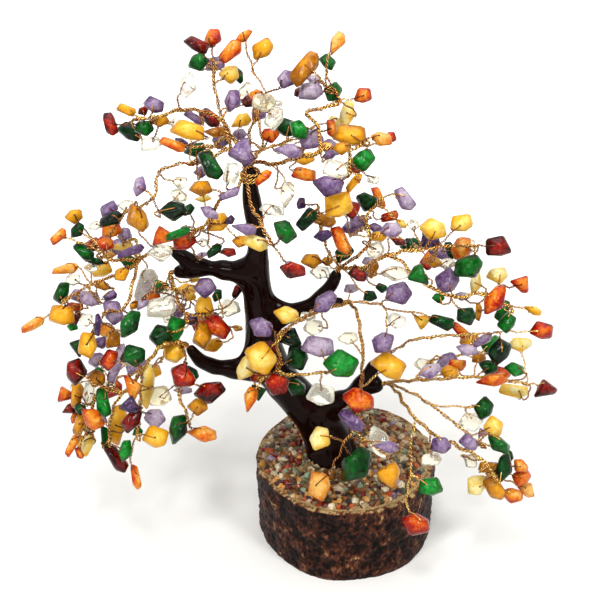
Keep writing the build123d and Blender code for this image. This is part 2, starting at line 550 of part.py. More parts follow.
class Chip:
    """A tumbled stone: its sight line, its real size and how far along the line it hangs."""

    def __init__(self, limb, stone, number, row):
        pixel_x, pixel_y, long, wide, turn, layer, cut = row
        self.limb = limb
        self.stone = stone
        self.number = number
        self.pixel = (pixel_x, pixel_y)
        self.half_pixels = (long / 2, wide / 2)
        self.turn = math.radians(turn)
        self.layer = layer
        self.cut = cut
        self.line = sight_line(pixel_x, pixel_y)

    def hang(self, depth):
        """Set the distance along the view, with the sizes that the pixels have there."""
        self.distance = depth
        self.long = 2 * self.half_pixels[0] * depth / focal_pixels
        self.wide = 2 * self.half_pixels[1] * depth / focal_pixels
        self.thick = self.wide * thickness_width_share + self.long * thickness_length_share
        self.centre = eye + self.line * depth

    def reach(self, heading):
        """Half extent of the silhouette, in pixels, along a heading in the picture."""
        offset = heading - self.turn
        return math.hypot(
            self.half_pixels[0] * math.cos(offset), self.half_pixels[1] * math.sin(offset)
        )

    def covers(self, other):
        """True where the two silhouettes overlap in the picture."""
        across = other.pixel[0] - self.pixel[0]
        rise = self.pixel[1] - other.pixel[1]
        heading = math.atan2(rise, across)
        return math.hypot(across, rise) < self.reach(heading) + other.reach(heading)

    def beside(self, fork):
        """How far in pixels a bundle passes, the reach that way, and the bundle's distance."""
        run_x = fork.parent.pixel[0] - fork.pixel[0]
        run_y = fork.parent.pixel[1] - fork.pixel[1]
        to_x = self.pixel[0] - fork.pixel[0]
        to_y = self.pixel[1] - fork.pixel[1]
        share = (to_x * run_x + to_y * run_y) / (run_x * run_x + run_y * run_y)
        share = min(1, max(0, share))
        away_x = fork.pixel[0] + run_x * share - self.pixel[0]
        away_y = fork.pixel[1] + run_y * share - self.pixel[1]
        distance = fork.distance + (fork.parent.distance - fork.distance) * share
        return math.hypot(away_x, away_y), self.reach(math.atan2(-away_y, away_x)), distance

    def corners(self):
        """Corners of the stone: its silhouette and two smaller faces, front and back."""
        tilt = math.radians(tilt_step * (self.number % 5 - 2))
        along = view_right * math.cos(self.turn) + view_up * math.sin(self.turn)
        across = view_up * math.cos(self.turn) - view_right * math.sin(self.turn)
        toward = look * -math.cos(tilt) + across * math.sin(tilt)
        across = across * math.cos(tilt) + look * math.sin(tilt)
        outline = cut_shares[self.cut]
        rings = [(outline, 1, 0), (outline[::2], chip_face_share, 0.5),
                 (outline[1::2], chip_face_share, -0.5)]
        points = []
        for ring, share, side in rings:
            for length_share, width_share in ring:
                points.append(
                    self.centre
                    + along * (self.long * length_share * share)
                    + across * (self.wide * width_share * share)
                    + toward * (self.thick * side)
                )
        return points


def section_planes(places):
    """A plane across a path at each of its places."""
    planes = []
    for index, place in enumerate(places):
        before = places[max(index - 1, 0)]
        after = places[min(index + 1, len(places) - 1)]
        planes.append(Plane(origin=place, x_dir=(0, 1, 0), z_dir=after - before))
    return planes


# Sections of the trunk and its limbs, in real sizes
trunk_places = [at_depth(x, y, trunk_depth) for x, y, width in trunk_pixels]
trunk_radii = [width * pixel_size(p) / 2 for (x, y, width), p in zip(trunk_pixels, trunk_places)]
limb_places = {}
limb_radii = {}
for limb, rows in limb_pixels_and_depth_shares.items():
    places = [at_depth(x, y, share * canopy_half_depth) for x, y, width, share in rows]
    limb_places[limb] = places
    limb_radii[limb] = [row[2] * pixel_size(place) / 2 for row, place in zip(rows, places)]

# Each bundle of wires is held in the end of a limb and leaves it along the limb
grip_lines = {"trunk_top": (trunk_places[-2], trunk_places[-1])}
for limb, places in limb_places.items():
    grip_lines[limb] = (places[-2], places[-1])

forks = {}
grip_forks = {}
for limb, grips in fork_pixels_and_depth_shares.items():
    forks[limb] = []
    for grip, sprays in grips.items():
        inner, tip = grip_lines[grip]
        root = Fork(tip + (tip - inner).normalized() * grip_lead, None)
        grip_forks[grip] = [root]
        for rows in sprays.values():
            grown = [root]
            for pixel_x, pixel_y, depth_share, parent in rows:
                place = at_depth(pixel_x, pixel_y, depth_share * canopy_half_depth)
                grown.append(Fork(place, grown[parent]))
            grip_forks[grip] += grown[1:]
        forks[limb] += grip_forks[grip]

# Chips hang from the front to the back: each is pushed back along its sight line until it
# clears the bundles that it hangs behind and the chips in front of it
chips = []
for limb, stones in chip_pixels.items():
    for stone, rows in stones.items():
        for number, row in enumerate(rows):
            chips.append(Chip(limb, stone, number, row))

hung = []
back_layer = 5
back_depth_share = 0.4
for chip in sorted(chips, key=lambda c: c.layer):
    at_back = chip.layer >= back_layer
    near = [
        fork for fork in forks[chip.limb]
        if (fork.place.Y >= back_depth_share * canopy_half_depth) == at_back
    ]
    fork = min(near, key=lambda f: math.dist(f.pixel, chip.pixel))
    if at_back:
        offset = (chip.number % 3 - 1) * layer_spacing
    else:
        offset = (chip.layer - front_layer_share) * layer_spacing
    chip.hang((at_depth(*chip.pixel, fork.place.Y + offset) - eye).dot(look))
    for fork in forks[chip.limb]:
        if fork.parent:
            away, reach, distance = chip.beside(fork)
            clear = chip.thick / 2 + bundle_limit + chip_gap
            if away < reach and abs(distance - chip.distance) < clear:
                chip.hang(distance - clear if chip.layer == 0 else distance + clear)
    for other in hung:
        if chip.covers(other):
            clear = other.distance + (other.thick + chip.thick) / 2 + chip_gap
            if chip.distance < clear:
                chip.hang(clear)
    hung.append(chip)


def passes_clear(start, chip):
    """True where a straight wire from a fork to a chip misses the limb's other chips."""
    run = chip.centre - start
    for other in hung:
        if other is chip:
            continue
        share = (other.centre - start).dot(run) / run.dot(run)
        if 0 < share < 1:
            miss = (other.centre - start - run * share).length
            if miss < other.wide / 2:
                return False
    return True


def wire_run(start, end, radius, sides, overrun=0.0):
    """A straight length of twisted wire between two places, run on a little past its end."""
    section = Plane(origin=start, z_dir=end - start) * RegularPolygon(radius, sides)
    return extrude(section, amount=(end - start).length + overrun)


# Each chip's wire comes from the nearest fork that it reaches without touching another chip
for chip in hung:
    nearest = sorted(forks[chip.limb], key=lambda f: (f.place - chip.centre).length)
    choices = [fork for fork in nearest[:4] if passes_clear(fork.place, chip)]
    chip.fork = choices[0] if choices else nearest[0]
    chip.fork.chips.append(chip)
    chip.fork.carry()
for chip in hung:
    chip.solid = ConvexPolyhedron(chip.corners(), align=Align.NONE)
longest = max((chip.centre - chip.fork.place).length for chip in hung)
print(f"{len(hung)} chips, longest single wire {longest:.1f} mm")


# Stone chips: one node for each limb and stone
for limb, stones in chip_pixels.items():
    for stone in stones:
        group = [chip for chip in hung if chip.limb == limb and chip.stone == stone]
        with BuildPart() as chip_group:
            add([chip.solid for chip in group])
        chip_group.part.label = f"{limb}_{stone}_chips"
        export_step(chip_group.part, f"parts/{limb}_{stone}_chips.step")

# Wire branches: a bundle gripped in the limb, thinner bundles from fork to fork, and a single
# twisted wire up to the face of each chip
bundle_names = {
    "trunk_top": "crown_wires", "upper_left_limb": "upper_left_wires",
    "upper_left_prong": "upper_left_low_wires", "lower_left_limb": "lower_left_wires",
    "upper_right_prong": "front_wires", "upper_right_limb": "upper_right_wires",
    "lower_right_limb": "lower_right_high_wires", "lower_right_prong": "lower_right_wires",
}
grip_runs = {}
for grip, grown in grip_forks.items():
    inner, tip = grip_lines[grip]
    grip_start = tip - (tip - inner).normalized() * limb_grip
    grip_runs[grip] = wire_run(grip_start, grown[0].place, bundle_limit, 5)
    runs = [grip_runs[grip]]
    for fork in grown[1:]:
        if fork.wires:
            radius = fork.radius()
            fork.run = wire_run(fork.parent.place, fork.place, radius, 3, radius)
            runs.append(fork.run)
    grown[0].run = grip_runs[grip]
    twigs = []
    for fork in grown:
        beside = [fork.run] if fork.chips else []
        beside += [other.run for other in grown if other.parent is fork and other.wires]
        for chip in fork.chips:
            wire = wire_run(fork.leave(chip), chip.centre, twig_radius, 3) - chip.solid - beside
            if wire.solids():
                twigs.append(wire.solids().sort_by_distance(chip.centre)[0])
            else:
                print("a stone against its bundle at", chip.pixel)
    with BuildPart() as wire_branch:
        add(runs)
        bundle_count = len(wire_branch.part.solids())
    branch = Compound(children=wire_branch.part.solids() + twigs, label=bundle_names[grip])
    export_step(branch, f"parts/{bundle_names[grip]}.step")
    print(bundle_names[grip], bundle_count, "bundle and", len(twigs), "single wires")

# Log core with its recess and the drilled hole for the rod
core_radius = log_diameter / 2 - bark_thickness
recess_radius = core_radius - rim_width
bed_top = log_height + bed_rise
foot_line = sight_line(trunk_foot_pixels[0], trunk_foot_pixels[1])
foot = eye + foot_line * ((bed_top - eye.Z) / foot_line.Z)

with BuildPart() as log_core:
    with BuildSketch():
        Circle(core_radius)
    extrude(amount=log_height)
    with BuildSketch(Plane.XY.offset(log_height)):
        Circle(recess_radius)
    extrude(amount=-recess_depth, mode=Mode.SUBTRACT)
    with BuildSketch(Plane.XY.offset(log_height - recess_depth)):
        with Locations((foot.X, foot.Y)):
            Circle(rod_radius)
    extrude(amount=-rod_in_log, mode=Mode.SUBTRACT)
log_core.part.label = "log_core"
export_step(log_core.part, "parts/log_core.step")

# Bark: an uneven outline round the core, drawn in a little towards the underside
bark_bump_shares = [0.9, 0.2, 0.7, -0.3, 0.5, 0.1, -0.6, 0.8, 0.0, -0.4, 0.6, -0.8, 0.3, -0.2]


def bark_outline(radius, shift):
    """Closed outline of the bark through one point for each bump."""
    places = []
    for index, share in enumerate(bark_bump_shares):
        angle = 2 * math.pi * index / len(bark_bump_shares)
        reach = radius + bark_roughness * share
        places.append((shift + reach * math.cos(angle), reach * math.sin(angle)))
    return places


with BuildPart() as bark:
    with BuildSketch() as underside:
        with BuildLine():
            Spline(*bark_outline(log_diameter / 2 - bark_taper / 2, bark_taper / 2), periodic=True)
        make_face()
    with BuildSketch(Plane.XY.offset(log_height)) as top:
        with BuildLine():
            Spline(*bark_outline(log_diameter / 2, 0), periodic=True)
        make_face()
    loft()
    with BuildSketch():
        Circle(core_radius)
    extrude(amount=log_height, mode=Mode.SUBTRACT)
bark.part.label = "bark"
export_step(bark.part, "parts/bark.step")

# Bed of crushed stone and clear resin in the recess
with BuildPart() as resin_bed:
    with BuildSketch(Plane.XY.offset(log_height - recess_depth)):
        Circle(recess_radius)
        with Locations((foot.X, foot.Y)):
            Circle(rod_radius, mode=Mode.SUBTRACT)
    extrude(amount=recess_depth + bed_rise)
resin_bed.part.label = "resin_bed"
export_step(resin_bed.part, "parts/resin_bed.step")

# Larger grains that stand out of the bed, in a spiral spread from the middle to the rim
foot_radius = trunk_foot_pixels[2] * pixel_size(foot) / 2
grain_stones = ["red", "green", "cream", "purple", "orange"]
golden_turn = math.pi * (3 - math.sqrt(5))
grain_size_shares = [1.0, 0.72, 0.86, 0.64, 0.92, 0.78, 0.58]
grains = {stone: [] for stone in grain_stones}
for index in range(grain_count):
    size = grain_length * grain_size_shares[index % len(grain_size_shares)]
    reach = (recess_radius - grain_length / 2) * math.sqrt((index + 0.5) / grain_count)
    angle = index * golden_turn
    place = Vector(reach * math.cos(angle), reach * math.sin(angle), 0)
    from_foot = (place - Vector(foot.X, foot.Y, 0)).length
    beside_foot = from_foot > foot_radius + grain_foot_clearance
    if beside_foot:
        grains[grain_stones[index % len(grain_stones)]].append((place, size, angle * 1.7))

grain_corner_shares = [
    (-0.5, -0.1, 0.0), (-0.1, 0.36, 0.0), (0.46, 0.14, 0.0), (0.1, -0.4, 0.0),
    (-0.3, -0.2, 0.5), (-0.1, 0.22, 0.56), (0.3, 0.02, 0.46), (0.06, -0.26, 0.4),
]
for stone, places in grains.items():
    with BuildPart() as grain_group:
        for place, size, angle in places:
            corners = []
            for along, across, rise in grain_corner_shares:
                x = place.X + size * (along * math.cos(angle) - across * math.sin(angle))
                y = place.Y + size * (along * math.sin(angle) + across * math.cos(angle))
                corners.append(Vector(x, y, bed_top + size * rise))
            ConvexPolyhedron(corners, align=Align.NONE)
    grain_group.part.label = f"{stone}_gravel"
    export_step(grain_group.part, f"parts/{stone}_gravel.step")

# Moulded trunk: a fluted loft up from the foot, limbs that fork at their ends, sockets for the
# bundles in the limbs' ends and one for the rod in the foot
with BuildPart() as trunk:
    with BuildSketch(Plane(origin=foot, x_dir=(0, 1, 0), z_dir=(0, 0, 1))):
        RegularPolygon(foot_radius, trunk_flats)
    for plane, radius in zip(section_planes(trunk_places), trunk_radii):
        with BuildSketch(plane):
            RegularPolygon(radius, trunk_flats)
    loft(ruled=True)
    for limb, places in limb_places.items():
        for plane, radius in zip(section_planes(places), limb_radii[limb]):
            with BuildSketch(plane):
                RegularPolygon(radius, limb_flats)
        loft(ruled=True)
    add(list(grip_runs.values()), mode=Mode.SUBTRACT)
    with BuildSketch(Plane.XY.offset(bed_top)):
        with Locations((foot.X, foot.Y)):
            Circle(rod_radius)
    extrude(amount=rod_in_trunk, mode=Mode.SUBTRACT)
trunk.part.label = "trunk"
export_step(trunk.part, "parts/trunk.step")
print("trunk", len(trunk.part.solids()), "solid")

# Rod: the trunk's core of twisted wire, glued into the log
with BuildPart() as armature_rod:
    with BuildSketch(Plane.XY.offset(log_height - recess_depth - rod_in_log)):
        with Locations((foot.X, foot.Y)):
            Circle(rod_radius)
    extrude(amount=rod_in_log + recess_depth + bed_rise + rod_in_trunk)
armature_rod.part.label = "armature_rod"
export_step(armature_rod.part, "parts/armature_rod.step")

# Binding: one copper wire wound round the top of the trunk
binding_radius = trunk_radii[-1] + binding_wire / 2 + binding_clearance
binding_top = trunk_places[-1]
binding_axis = (trunk_places[-1] - trunk_places[-2]).normalized()
binding_x = Vector(0, 1, 0)
binding_x = (binding_x - binding_axis * binding_x.dot(binding_axis)).normalized()
binding_y = binding_axis.cross(binding_x)
binding_start = binding_top - binding_axis * (binding_pitch * (binding_turns + 1))


def winding_place(turn):
    """Point on the winding after a number of turns."""
    angle = 2 * math.pi * turn
    return (
        binding_start
        + binding_x * (binding_radius * math.cos(angle))
        + binding_y * (binding_radius * math.sin(angle))
        + binding_axis * (binding_pitch * turn)
    )


def winding_heading(turn):
    """Direction of the winding after a number of turns."""
    angle = 2 * math.pi * turn
    round_way = binding_y * math.cos(angle) - binding_x * math.sin(angle)
    return (round_way * (2 * math.pi * binding_radius) + binding_axis * binding_pitch).normalized()


def biarc_joint(start, start_heading, end, end_heading):
    """Where the two arcs of a biarc with equal leads meet."""
    gap = end - start
    lean = gap.dot(start_heading + end_heading)
    spread = 2 * (1 - start_heading.dot(end_heading))
    lead = (math.sqrt(lean * lean + spread * gap.dot(gap)) - lean) / spread
    return (start + end + (start_heading - end_heading) * lead) * 0.5


quarter = 0.25
with BuildPart() as trunk_binding:
    with BuildLine() as winding:
        for step in range(4 * binding_turns):
            begin = step * quarter
            middle = biarc_joint(
                winding_place(begin), winding_heading(begin),
                winding_place(begin + quarter), winding_heading(begin + quarter),
            )
            first = TangentArc(winding_place(begin), middle, tangent=winding_heading(begin))
            TangentArc(middle, winding_place(begin + quarter), tangent=first % 1)
    with BuildSketch(Plane(origin=winding_place(0), z_dir=winding_heading(0))):
        RegularPolygon(binding_wire / 2, 5)
    sweep()
trunk_binding.part.label = "trunk_binding"
export_step(trunk_binding.part, "parts/trunk_binding.step")

winding_points = [winding_place(step / 40) for step in range(40 * binding_turns + 1)]
least_gap = min(
    (a - b).length - binding_wire
    for index, a in enumerate(winding_points)
    for b in winding_points[index + 20:]
)
print(f"least gap of the binding to itself {least_gap:.2f} mm")
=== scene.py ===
# %% [markdown]
# # A gemstone tree on a slice of log
#
# The ornament is some 370 drilled stone chips on twisted copper wire. The wires come
# out of the limbs of a dark moulded trunk, which stands in crushed stone on a slice of log.
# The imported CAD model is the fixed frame: every piece made below goes where its solids are.

# %% Load the frame
import json
import math

import bmesh
import bpy
import numpy as np
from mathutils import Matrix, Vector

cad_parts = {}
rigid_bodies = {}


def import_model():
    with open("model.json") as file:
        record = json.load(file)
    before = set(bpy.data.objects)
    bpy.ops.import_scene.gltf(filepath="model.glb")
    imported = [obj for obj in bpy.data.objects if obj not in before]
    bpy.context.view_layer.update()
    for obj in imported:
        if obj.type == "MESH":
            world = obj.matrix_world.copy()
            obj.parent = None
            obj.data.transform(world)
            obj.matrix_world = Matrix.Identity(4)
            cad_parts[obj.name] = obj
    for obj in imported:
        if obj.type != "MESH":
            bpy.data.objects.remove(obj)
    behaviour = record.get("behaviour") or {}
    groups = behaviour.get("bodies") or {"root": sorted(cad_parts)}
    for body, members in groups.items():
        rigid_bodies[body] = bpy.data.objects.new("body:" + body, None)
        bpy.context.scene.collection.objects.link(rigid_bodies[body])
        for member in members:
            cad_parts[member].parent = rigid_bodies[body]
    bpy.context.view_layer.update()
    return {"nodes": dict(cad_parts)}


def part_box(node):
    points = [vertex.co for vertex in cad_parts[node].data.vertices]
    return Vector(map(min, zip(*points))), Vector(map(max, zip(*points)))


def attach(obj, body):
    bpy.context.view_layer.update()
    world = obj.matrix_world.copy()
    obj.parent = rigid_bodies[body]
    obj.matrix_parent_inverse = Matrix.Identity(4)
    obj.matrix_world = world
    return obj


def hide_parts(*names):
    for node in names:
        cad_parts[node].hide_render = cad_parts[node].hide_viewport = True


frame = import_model()
mm = 0.001
seed = 21
print(len(frame["nodes"]), "CAD nodes")

# %% [markdown]
# ## The view
#
# The stones and wires were placed along sight lines through the photograph, so the script
# needs the same eye. A sight line leaves the eye through a pixel; a place on it is found
# where it meets the upright plane Y = depth.

# %% The eye and its sight lines
eye = np.array([-20.4, -405.0, 362.4]) * mm
view_pitch = math.radians(30.8)
focal_pixels = 1134
frame_pixels = 600
centre_pixel = frame_pixels / 2
look = np.array([0, math.cos(view_pitch), -math.sin(view_pitch)])
view_up = np.array([0, math.sin(view_pitch), math.cos(view_pitch)])
view_right = np.array([1.0, 0, 0])
half_depth = 60 * mm


def sight_lines(pixels):
    """Lines from the eye through pixels: look + right * across - up * down."""
    shares = (np.asarray(pixels, float) - centre_pixel) / focal_pixels
    return look + view_right * shares[..., :1] - view_up * shares[..., 1:]


def at_depth(pixel_x, pixel_y, depth_share):
    """Point where the sight line of a pixel meets the plane Y = depth_share * half_depth."""
    line = sight_lines((pixel_x, pixel_y))
    return eye + line * ((depth_share * half_depth - eye[1]) / line[1])


def pixel_of(point):
    """Pixel where a point is seen: its offsets right and up, divided by its distance."""
    offset = point - eye
    scale = focal_pixels / (offset @ look)
    return centre_pixel + np.array([offset @ view_right, -(offset @ view_up)]) * scale


def unit(vectors):
    """Vectors divided by their lengths."""
    return vectors / np.linalg.norm(vectors, axis=-1, keepdims=True)


def round_line(angle, side, up):
    """Directions round a line: cos a side + sin a up."""
    return np.cos(angle)[..., None] * side + np.sin(angle)[..., None] * up


def smooth_step(share):
    """3 s^2 - 2 s^3, which leaves 0 and reaches 1 without a corner."""
    return share * share * (3 - 2 * share)


print("a pixel at the trunk is", round(float(-eye[1] / look[1] / focal_pixels / mm), 3), "mm")

# %% [markdown]
# ## Mesh helpers
#
# New surfaces are arrays of points worked out with numpy, most of them grids: rows run along the
# surface and columns round it. These helpers join such arrays into one mesh and hang it on the
# frame.

# %% Grids and gathered surfaces
def grid_faces(rows, columns):
    """Four corners for each cell of a grid that closes on itself along its columns."""
    row, column = np.meshgrid(np.arange(rows - 1), np.arange(columns), indexing="ij")
    beside = (column + 1) % columns
    cells = [row * columns + column, row * columns + beside,
             (row + 1) * columns + beside, (row + 1) * columns + column]
    return np.stack(cells, axis=-1).reshape(-1, 4)


def cap_faces(first, columns):
    """A fan of triangles over one ring of points, so that a tube's end is closed."""
    inner = np.arange(1, columns - 1)
    return np.stack([np.full_like(inner, first), first + inner, first + inner + 1], axis=-1)


def tube_faces(rows, columns):
    """The faces of a tube: a grid turned outward and a fan over each end."""
    return [grid_faces(rows, columns)[:, ::-1], cap_faces(0, columns),
            cap_faces((rows - 1) * columns, columns)[:, ::-1]]


def new_mesh(name, points, faces):
    """A mesh of points and faces."""
    mesh = bpy.data.meshes.new(name)
    mesh.from_pydata(np.asarray(points).tolist(), [], faces)
    return mesh


def finish_mesh(mesh, smooth, **attributes):
    """Shade the mesh smooth or flat and give its points their attributes."""
    mesh.polygons.foreach_set("use_smooth", np.full(len(mesh.polygons), smooth))
    for name, values in attributes.items():
        attribute = mesh.attributes.new(name, "FLOAT", "POINT")
        attribute.data.foreach_set("value", np.asarray(values, np.float32))
    mesh.update()
    return mesh


def move_points(mesh, points):
    """Put the mesh's points at new places."""
    mesh.vertices.foreach_set("co", points.ravel())
    mesh.update()
    return mesh


class Surface:
    """Points and faces gathered for one mesh, with a tone and a piece's number at each point."""

    def __init__(self):
        self.points, self.faces, self.tones, self.numbers, self.count = [], [], [], [], 0

    def take(self, points, blocks, tone=0.5, number=0):
        """Add points with blocks of faces that count from the first of them."""
        points = np.asarray(points).reshape(-1, 3)
        self.points.append(points)
        self.faces += [block + self.count for block in blocks]
        self.tones.append(np.broadcast_to(np.asarray(tone, float).ravel(), (len(points),)))
        self.numbers.append(np.full(len(points), number))
        self.count += len(points)

    def mesh(self, name, smooth=True):
        """The gathered mesh, with its tones and numbers as point attributes."""
        faces = [face for block in self.faces for face in block.tolist()]
        mesh = new_mesh(name, np.concatenate(self.points), faces)
        return finish_mesh(mesh, smooth, tone=np.concatenate(self.tones),
                           number=np.concatenate(self.numbers))

# %% Tubes along a path
def sides_of(path):
    """Two directions square to a path at each of its points.

    The first is also square to the direction in which the path spreads least, so that a tube
    doesn't twist."""
    heading = unit(np.gradient(path, axis=0))
    flattest = np.linalg.svd(path - path.mean(axis=0), full_matrices=False)[2][-1]
    side = unit(np.cross(heading, flattest))
    return side, np.cross(side, heading)


# Painted shade and light on the wire: a strand is darker on the side facing the curve it winds
# round and lighter on the far side.
painted_groove_shade = 0.6


def tube(surface, path, radius, sides, tone, cores=()):
    """A round section carried along a path: point = path + radius (cos a side + sin a up).

    Its tone carries painted shade and light: darker in the grooves, on the side that faces each
    core it is wound round, and lighter on the side away from it."""
    side, up = sides_of(path)
    angle = np.linspace(0, 2 * np.pi, sides, endpoint=False)
    ring = round_line(angle, side[:, None], up[:, None])
    tones = np.full((len(path), sides), float(tone))
    for core in cores:
        tones += painted_groove_shade * (ring * unit(path - core)[:, None]).sum(axis=-1)
    surface.take(path[:, None] + ring * radius, tube_faces(len(path), sides), np.clip(tones, 0, 1))

# %% Meshes and objects
def read_rows(items, name, width=3, kind=float):
    """One property of many mesh items, as rows of numbers."""
    values = np.empty(len(items) * width, dtype=kind)
    items.foreach_get(name, values)
    return values.reshape(-1, width)


def add_object(name, data):
    """A new object for some data, in the scene."""
    made = bpy.data.objects.new(name, data)
    bpy.context.scene.collection.objects.link(made)
    return made


def place_piece(mesh, material, nodes):
    """An object for a finished mesh, which rides on the root and stands for CAD nodes."""
    piece = add_object(mesh.name, mesh)
    mesh.materials.append(material)
    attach(piece, "root")
    if nodes:
        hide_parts(*nodes)


def evaluated(draft):
    """The mesh of an object with its modifiers applied; the draft object is removed."""
    depsgraph = bpy.context.evaluated_depsgraph_get()
    mesh = bpy.data.meshes.new_from_object(draft.evaluated_get(depsgraph), depsgraph=depsgraph)
    bpy.data.objects.remove(draft)
    return mesh


def joined_triangles(node):
    """A CAD node's corners (n, 3), each once, and its triangles (t, 3) by their numbers."""
    mesh = frame["nodes"][node].data
    mesh.calc_loop_triangles()
    triangles = read_rows(mesh.loop_triangles, "vertices", kind=np.int64)
    corners = np.round(read_rows(mesh.vertices, "co"), 6)
    places, merged = np.unique(corners, axis=0, return_inverse=True)
    return places, merged.ravel()[triangles]

# %% [markdown]
# ## Shared finishes
#
# Stones, wires, bark and grains are all clouded: their tone drifts from place to place. One
# shader node group makes that drift from a noise, and each material sets its scale and amount.
# Every stone also has its own tone, kept on the mesh as an attribute.

# %% Nodes, links and ramps
def add_node(tree, kind, values=(), **settings):
    """A node with its settings and the values of its open sockets."""
    node = tree.nodes.new(kind)
    for key, value in settings.items():
        setattr(node, key, value)
    for key, value in dict(values).items():
        node.inputs[key].default_value = value
    return node


def link(tree, *rows):
    """Links, each given as a node and its output, then a node and its input."""
    for source, output, target, entry in rows:
        tree.links.new(source.outputs[output], target.inputs[entry])


def add_ramp(tree, stops):
    """A colour ramp with the given positions and colours."""
    ramp = add_node(tree, "ShaderNodeValToRGB")
    elements = ramp.color_ramp.elements
    while len(elements) < len(stops):
        elements.new(0.5)
    for element, (position, colour) in zip(elements, stops):
        element.position = position
        element.color = (*colour, 1)
    return ramp


def add_relief(tree, shader, height, output, strength, distance):
    """A bump of a node's output on the shader's normal."""
    relief = add_node(tree, "ShaderNodeBump", {"Strength": strength, "Distance": distance})
    link(tree, (height, output, relief, "Height"), (relief, "Normal", shader, "Normal"))


def new_finish(name, sockets):
    """A new material, its tree and its Principled shader with the given socket values."""
    material = bpy.data.materials.new(name)
    material.use_nodes = True
    shader = material.node_tree.nodes["Principled BSDF"]
    for key, value in sockets.items():
        shader.inputs[key].default_value = value
    return material, material.node_tree, shader

# %% The cloud group
clouds = bpy.data.node_groups.new("tone_clouds", "ShaderNodeTree")
for name, start in (("Tone", 0.5), ("Scale", 100.0), ("Amount", 0.3), ("Bend", 0.0),
                    ("Stretch", (1, 1, 1))):
    kind = "NodeSocketVector" if name == "Stretch" else "NodeSocketFloat"
    socket = clouds.interface.new_socket(name, in_out="INPUT", socket_type=kind)
    socket.default_value = start
for name in ("Tone", "Clouds"):
    clouds.interface.new_socket(name, in_out="OUTPUT", socket_type="NodeSocketFloat")
entry = add_node(clouds, "NodeGroupInput")
leaving = add_node(clouds, "NodeGroupOutput")
where = add_node(clouds, "ShaderNodeTexCoord")
stretched = add_node(clouds, "ShaderNodeVectorMath", operation="MULTIPLY")
noise = add_node(clouds, "ShaderNodeTexNoise", {"Detail": 4.0})
centred = add_node(clouds, "ShaderNodeMath", {1: 0.5}, operation="SUBTRACT")
spread = add_node(clouds, "ShaderNodeMath", operation="MULTIPLY_ADD")
link(clouds, (where, "Object", stretched, 0), (entry, "Stretch", stretched, 1),
     (stretched, 0, noise, "Vector"), (entry, "Scale", noise, "Scale"),
     (entry, "Bend", noise, "Distortion"), (noise, "Fac", centred, 0), (centred, 0, spread, 0),
     (entry, "Amount", spread, 1), (entry, "Tone", spread, 2), (spread, 0, leaving, "Tone"),
     (noise, "Fac", leaving, "Clouds"))


def clouded_material(name, stops, scale, amount, bend=0.0, bump=0.0, bump_scale=0.0, sockets=None,
                     stretch=(1, 1, 1), relief_height=0.4 * mm):
    """A Principled material whose colour is a ramp read by the mesh's tone plus clouds."""
    material, tree, shader = new_finish(name, sockets or {})
    tone = add_node(tree, "ShaderNodeAttribute", attribute_name="tone")
    group = add_node(tree, "ShaderNodeGroup", {"Scale": scale, "Amount": amount, "Bend": bend,
                                               "Stretch": stretch}, node_tree=clouds)
    ramp = add_ramp(tree, stops)
    link(tree, (tone, "Fac", group, "Tone"), (group, "Tone", ramp, "Fac"),
         (ramp, "Color", shader, "Base Color"))
    if bump:
        spots = add_node(tree, "ShaderNodeGroup", {"Scale": bump_scale, "Stretch": stretch},
                         node_tree=clouds)
        add_relief(tree, shader, spots, "Clouds", bump, relief_height)
    return material

# %% [markdown]
# ## Stone finishes
#
# The chips are tumbled to a gloss. Amethyst, carnelian and the yellow stone let some light
# through, quartz lets through most of it, and aventurine none. Colour stops run from the darkest
# stones of a kind to the palest.

# %% Five stones
gloss = {"Roughness": 0.08, "IOR": 1.5, "Specular IOR Level": 0.16}
stone_looks = {
    "amethyst": (
        [(0.0, (0.035, 0.013, 0.06)), (0.3, (0.14, 0.068, 0.19)), (0.6, (0.30, 0.20, 0.35)),
         (1.0, (0.60, 0.50, 0.60))],
        420, 1.2, 1.2, 0.8, 420, {**gloss, "Transmission Weight": 0.25}),
    "aventurine": (
        [(0.0, (0.0003, 0.004, 0.001)), (0.35, (0.0006, 0.045, 0.004)),
         (0.7, (0.001, 0.125, 0.007)), (1.0, (0.01, 0.28, 0.03))],
        380, 1.1, 0.8, 0.8, 420, {**gloss, "Roughness": 0.06}),
    "yellow_stone": (
        [(0.0, (0.32, 0.10, 0.003)), (0.3, (0.70, 0.29, 0.007)), (0.6, (0.85, 0.42, 0.017)),
         (0.85, (0.86, 0.62, 0.12)), (1.0, (0.87, 0.77, 0.37))],
        380, 0.8, 0.8, 0.7, 400, {**gloss, "Transmission Weight": 0.08}),
    "carnelian": (
        [(0.0, (0.02, 0.001, 0.001)), (0.2, (0.15, 0.003, 0.001)), (0.45, (0.40, 0.013, 0.001)),
         (0.62, (0.64, 0.10, 0.003)), (0.8, (0.76, 0.25, 0.012)), (1.0, (0.82, 0.48, 0.12))],
        380, 0.8, 1.2, 0.7, 400, {**gloss, "Transmission Weight": 0.1}),
    "quartz": (
        [(0.0, (0.90, 0.89, 0.78)), (0.5, (0.99, 0.97, 0.85)), (1.0, (0.96, 0.90, 0.64))],
        420, 1.2, 1.5, 0.6, 420,
        {**gloss, "Roughness": 0.03, "IOR": 1.3, "Transmission Weight": 0.76}),
}
stone_finishes = {kind: clouded_material(kind, *look) for kind, look in stone_looks.items()}
print(len(stone_finishes), "stone finishes")

# %% [markdown]
# ## The stones
#
# Each chip in the frame is a sharp convex solid with a flat front and back. A tumbled stone is a
# little fuller, its corners lie less evenly, both faces rise to a low peak and its edges are worn
# round. The corners are moved as one array and the faces are the hull of them. Then faces that
# lie nearly flat to each other are joined, and a bevel cuts off the edges between the rest.

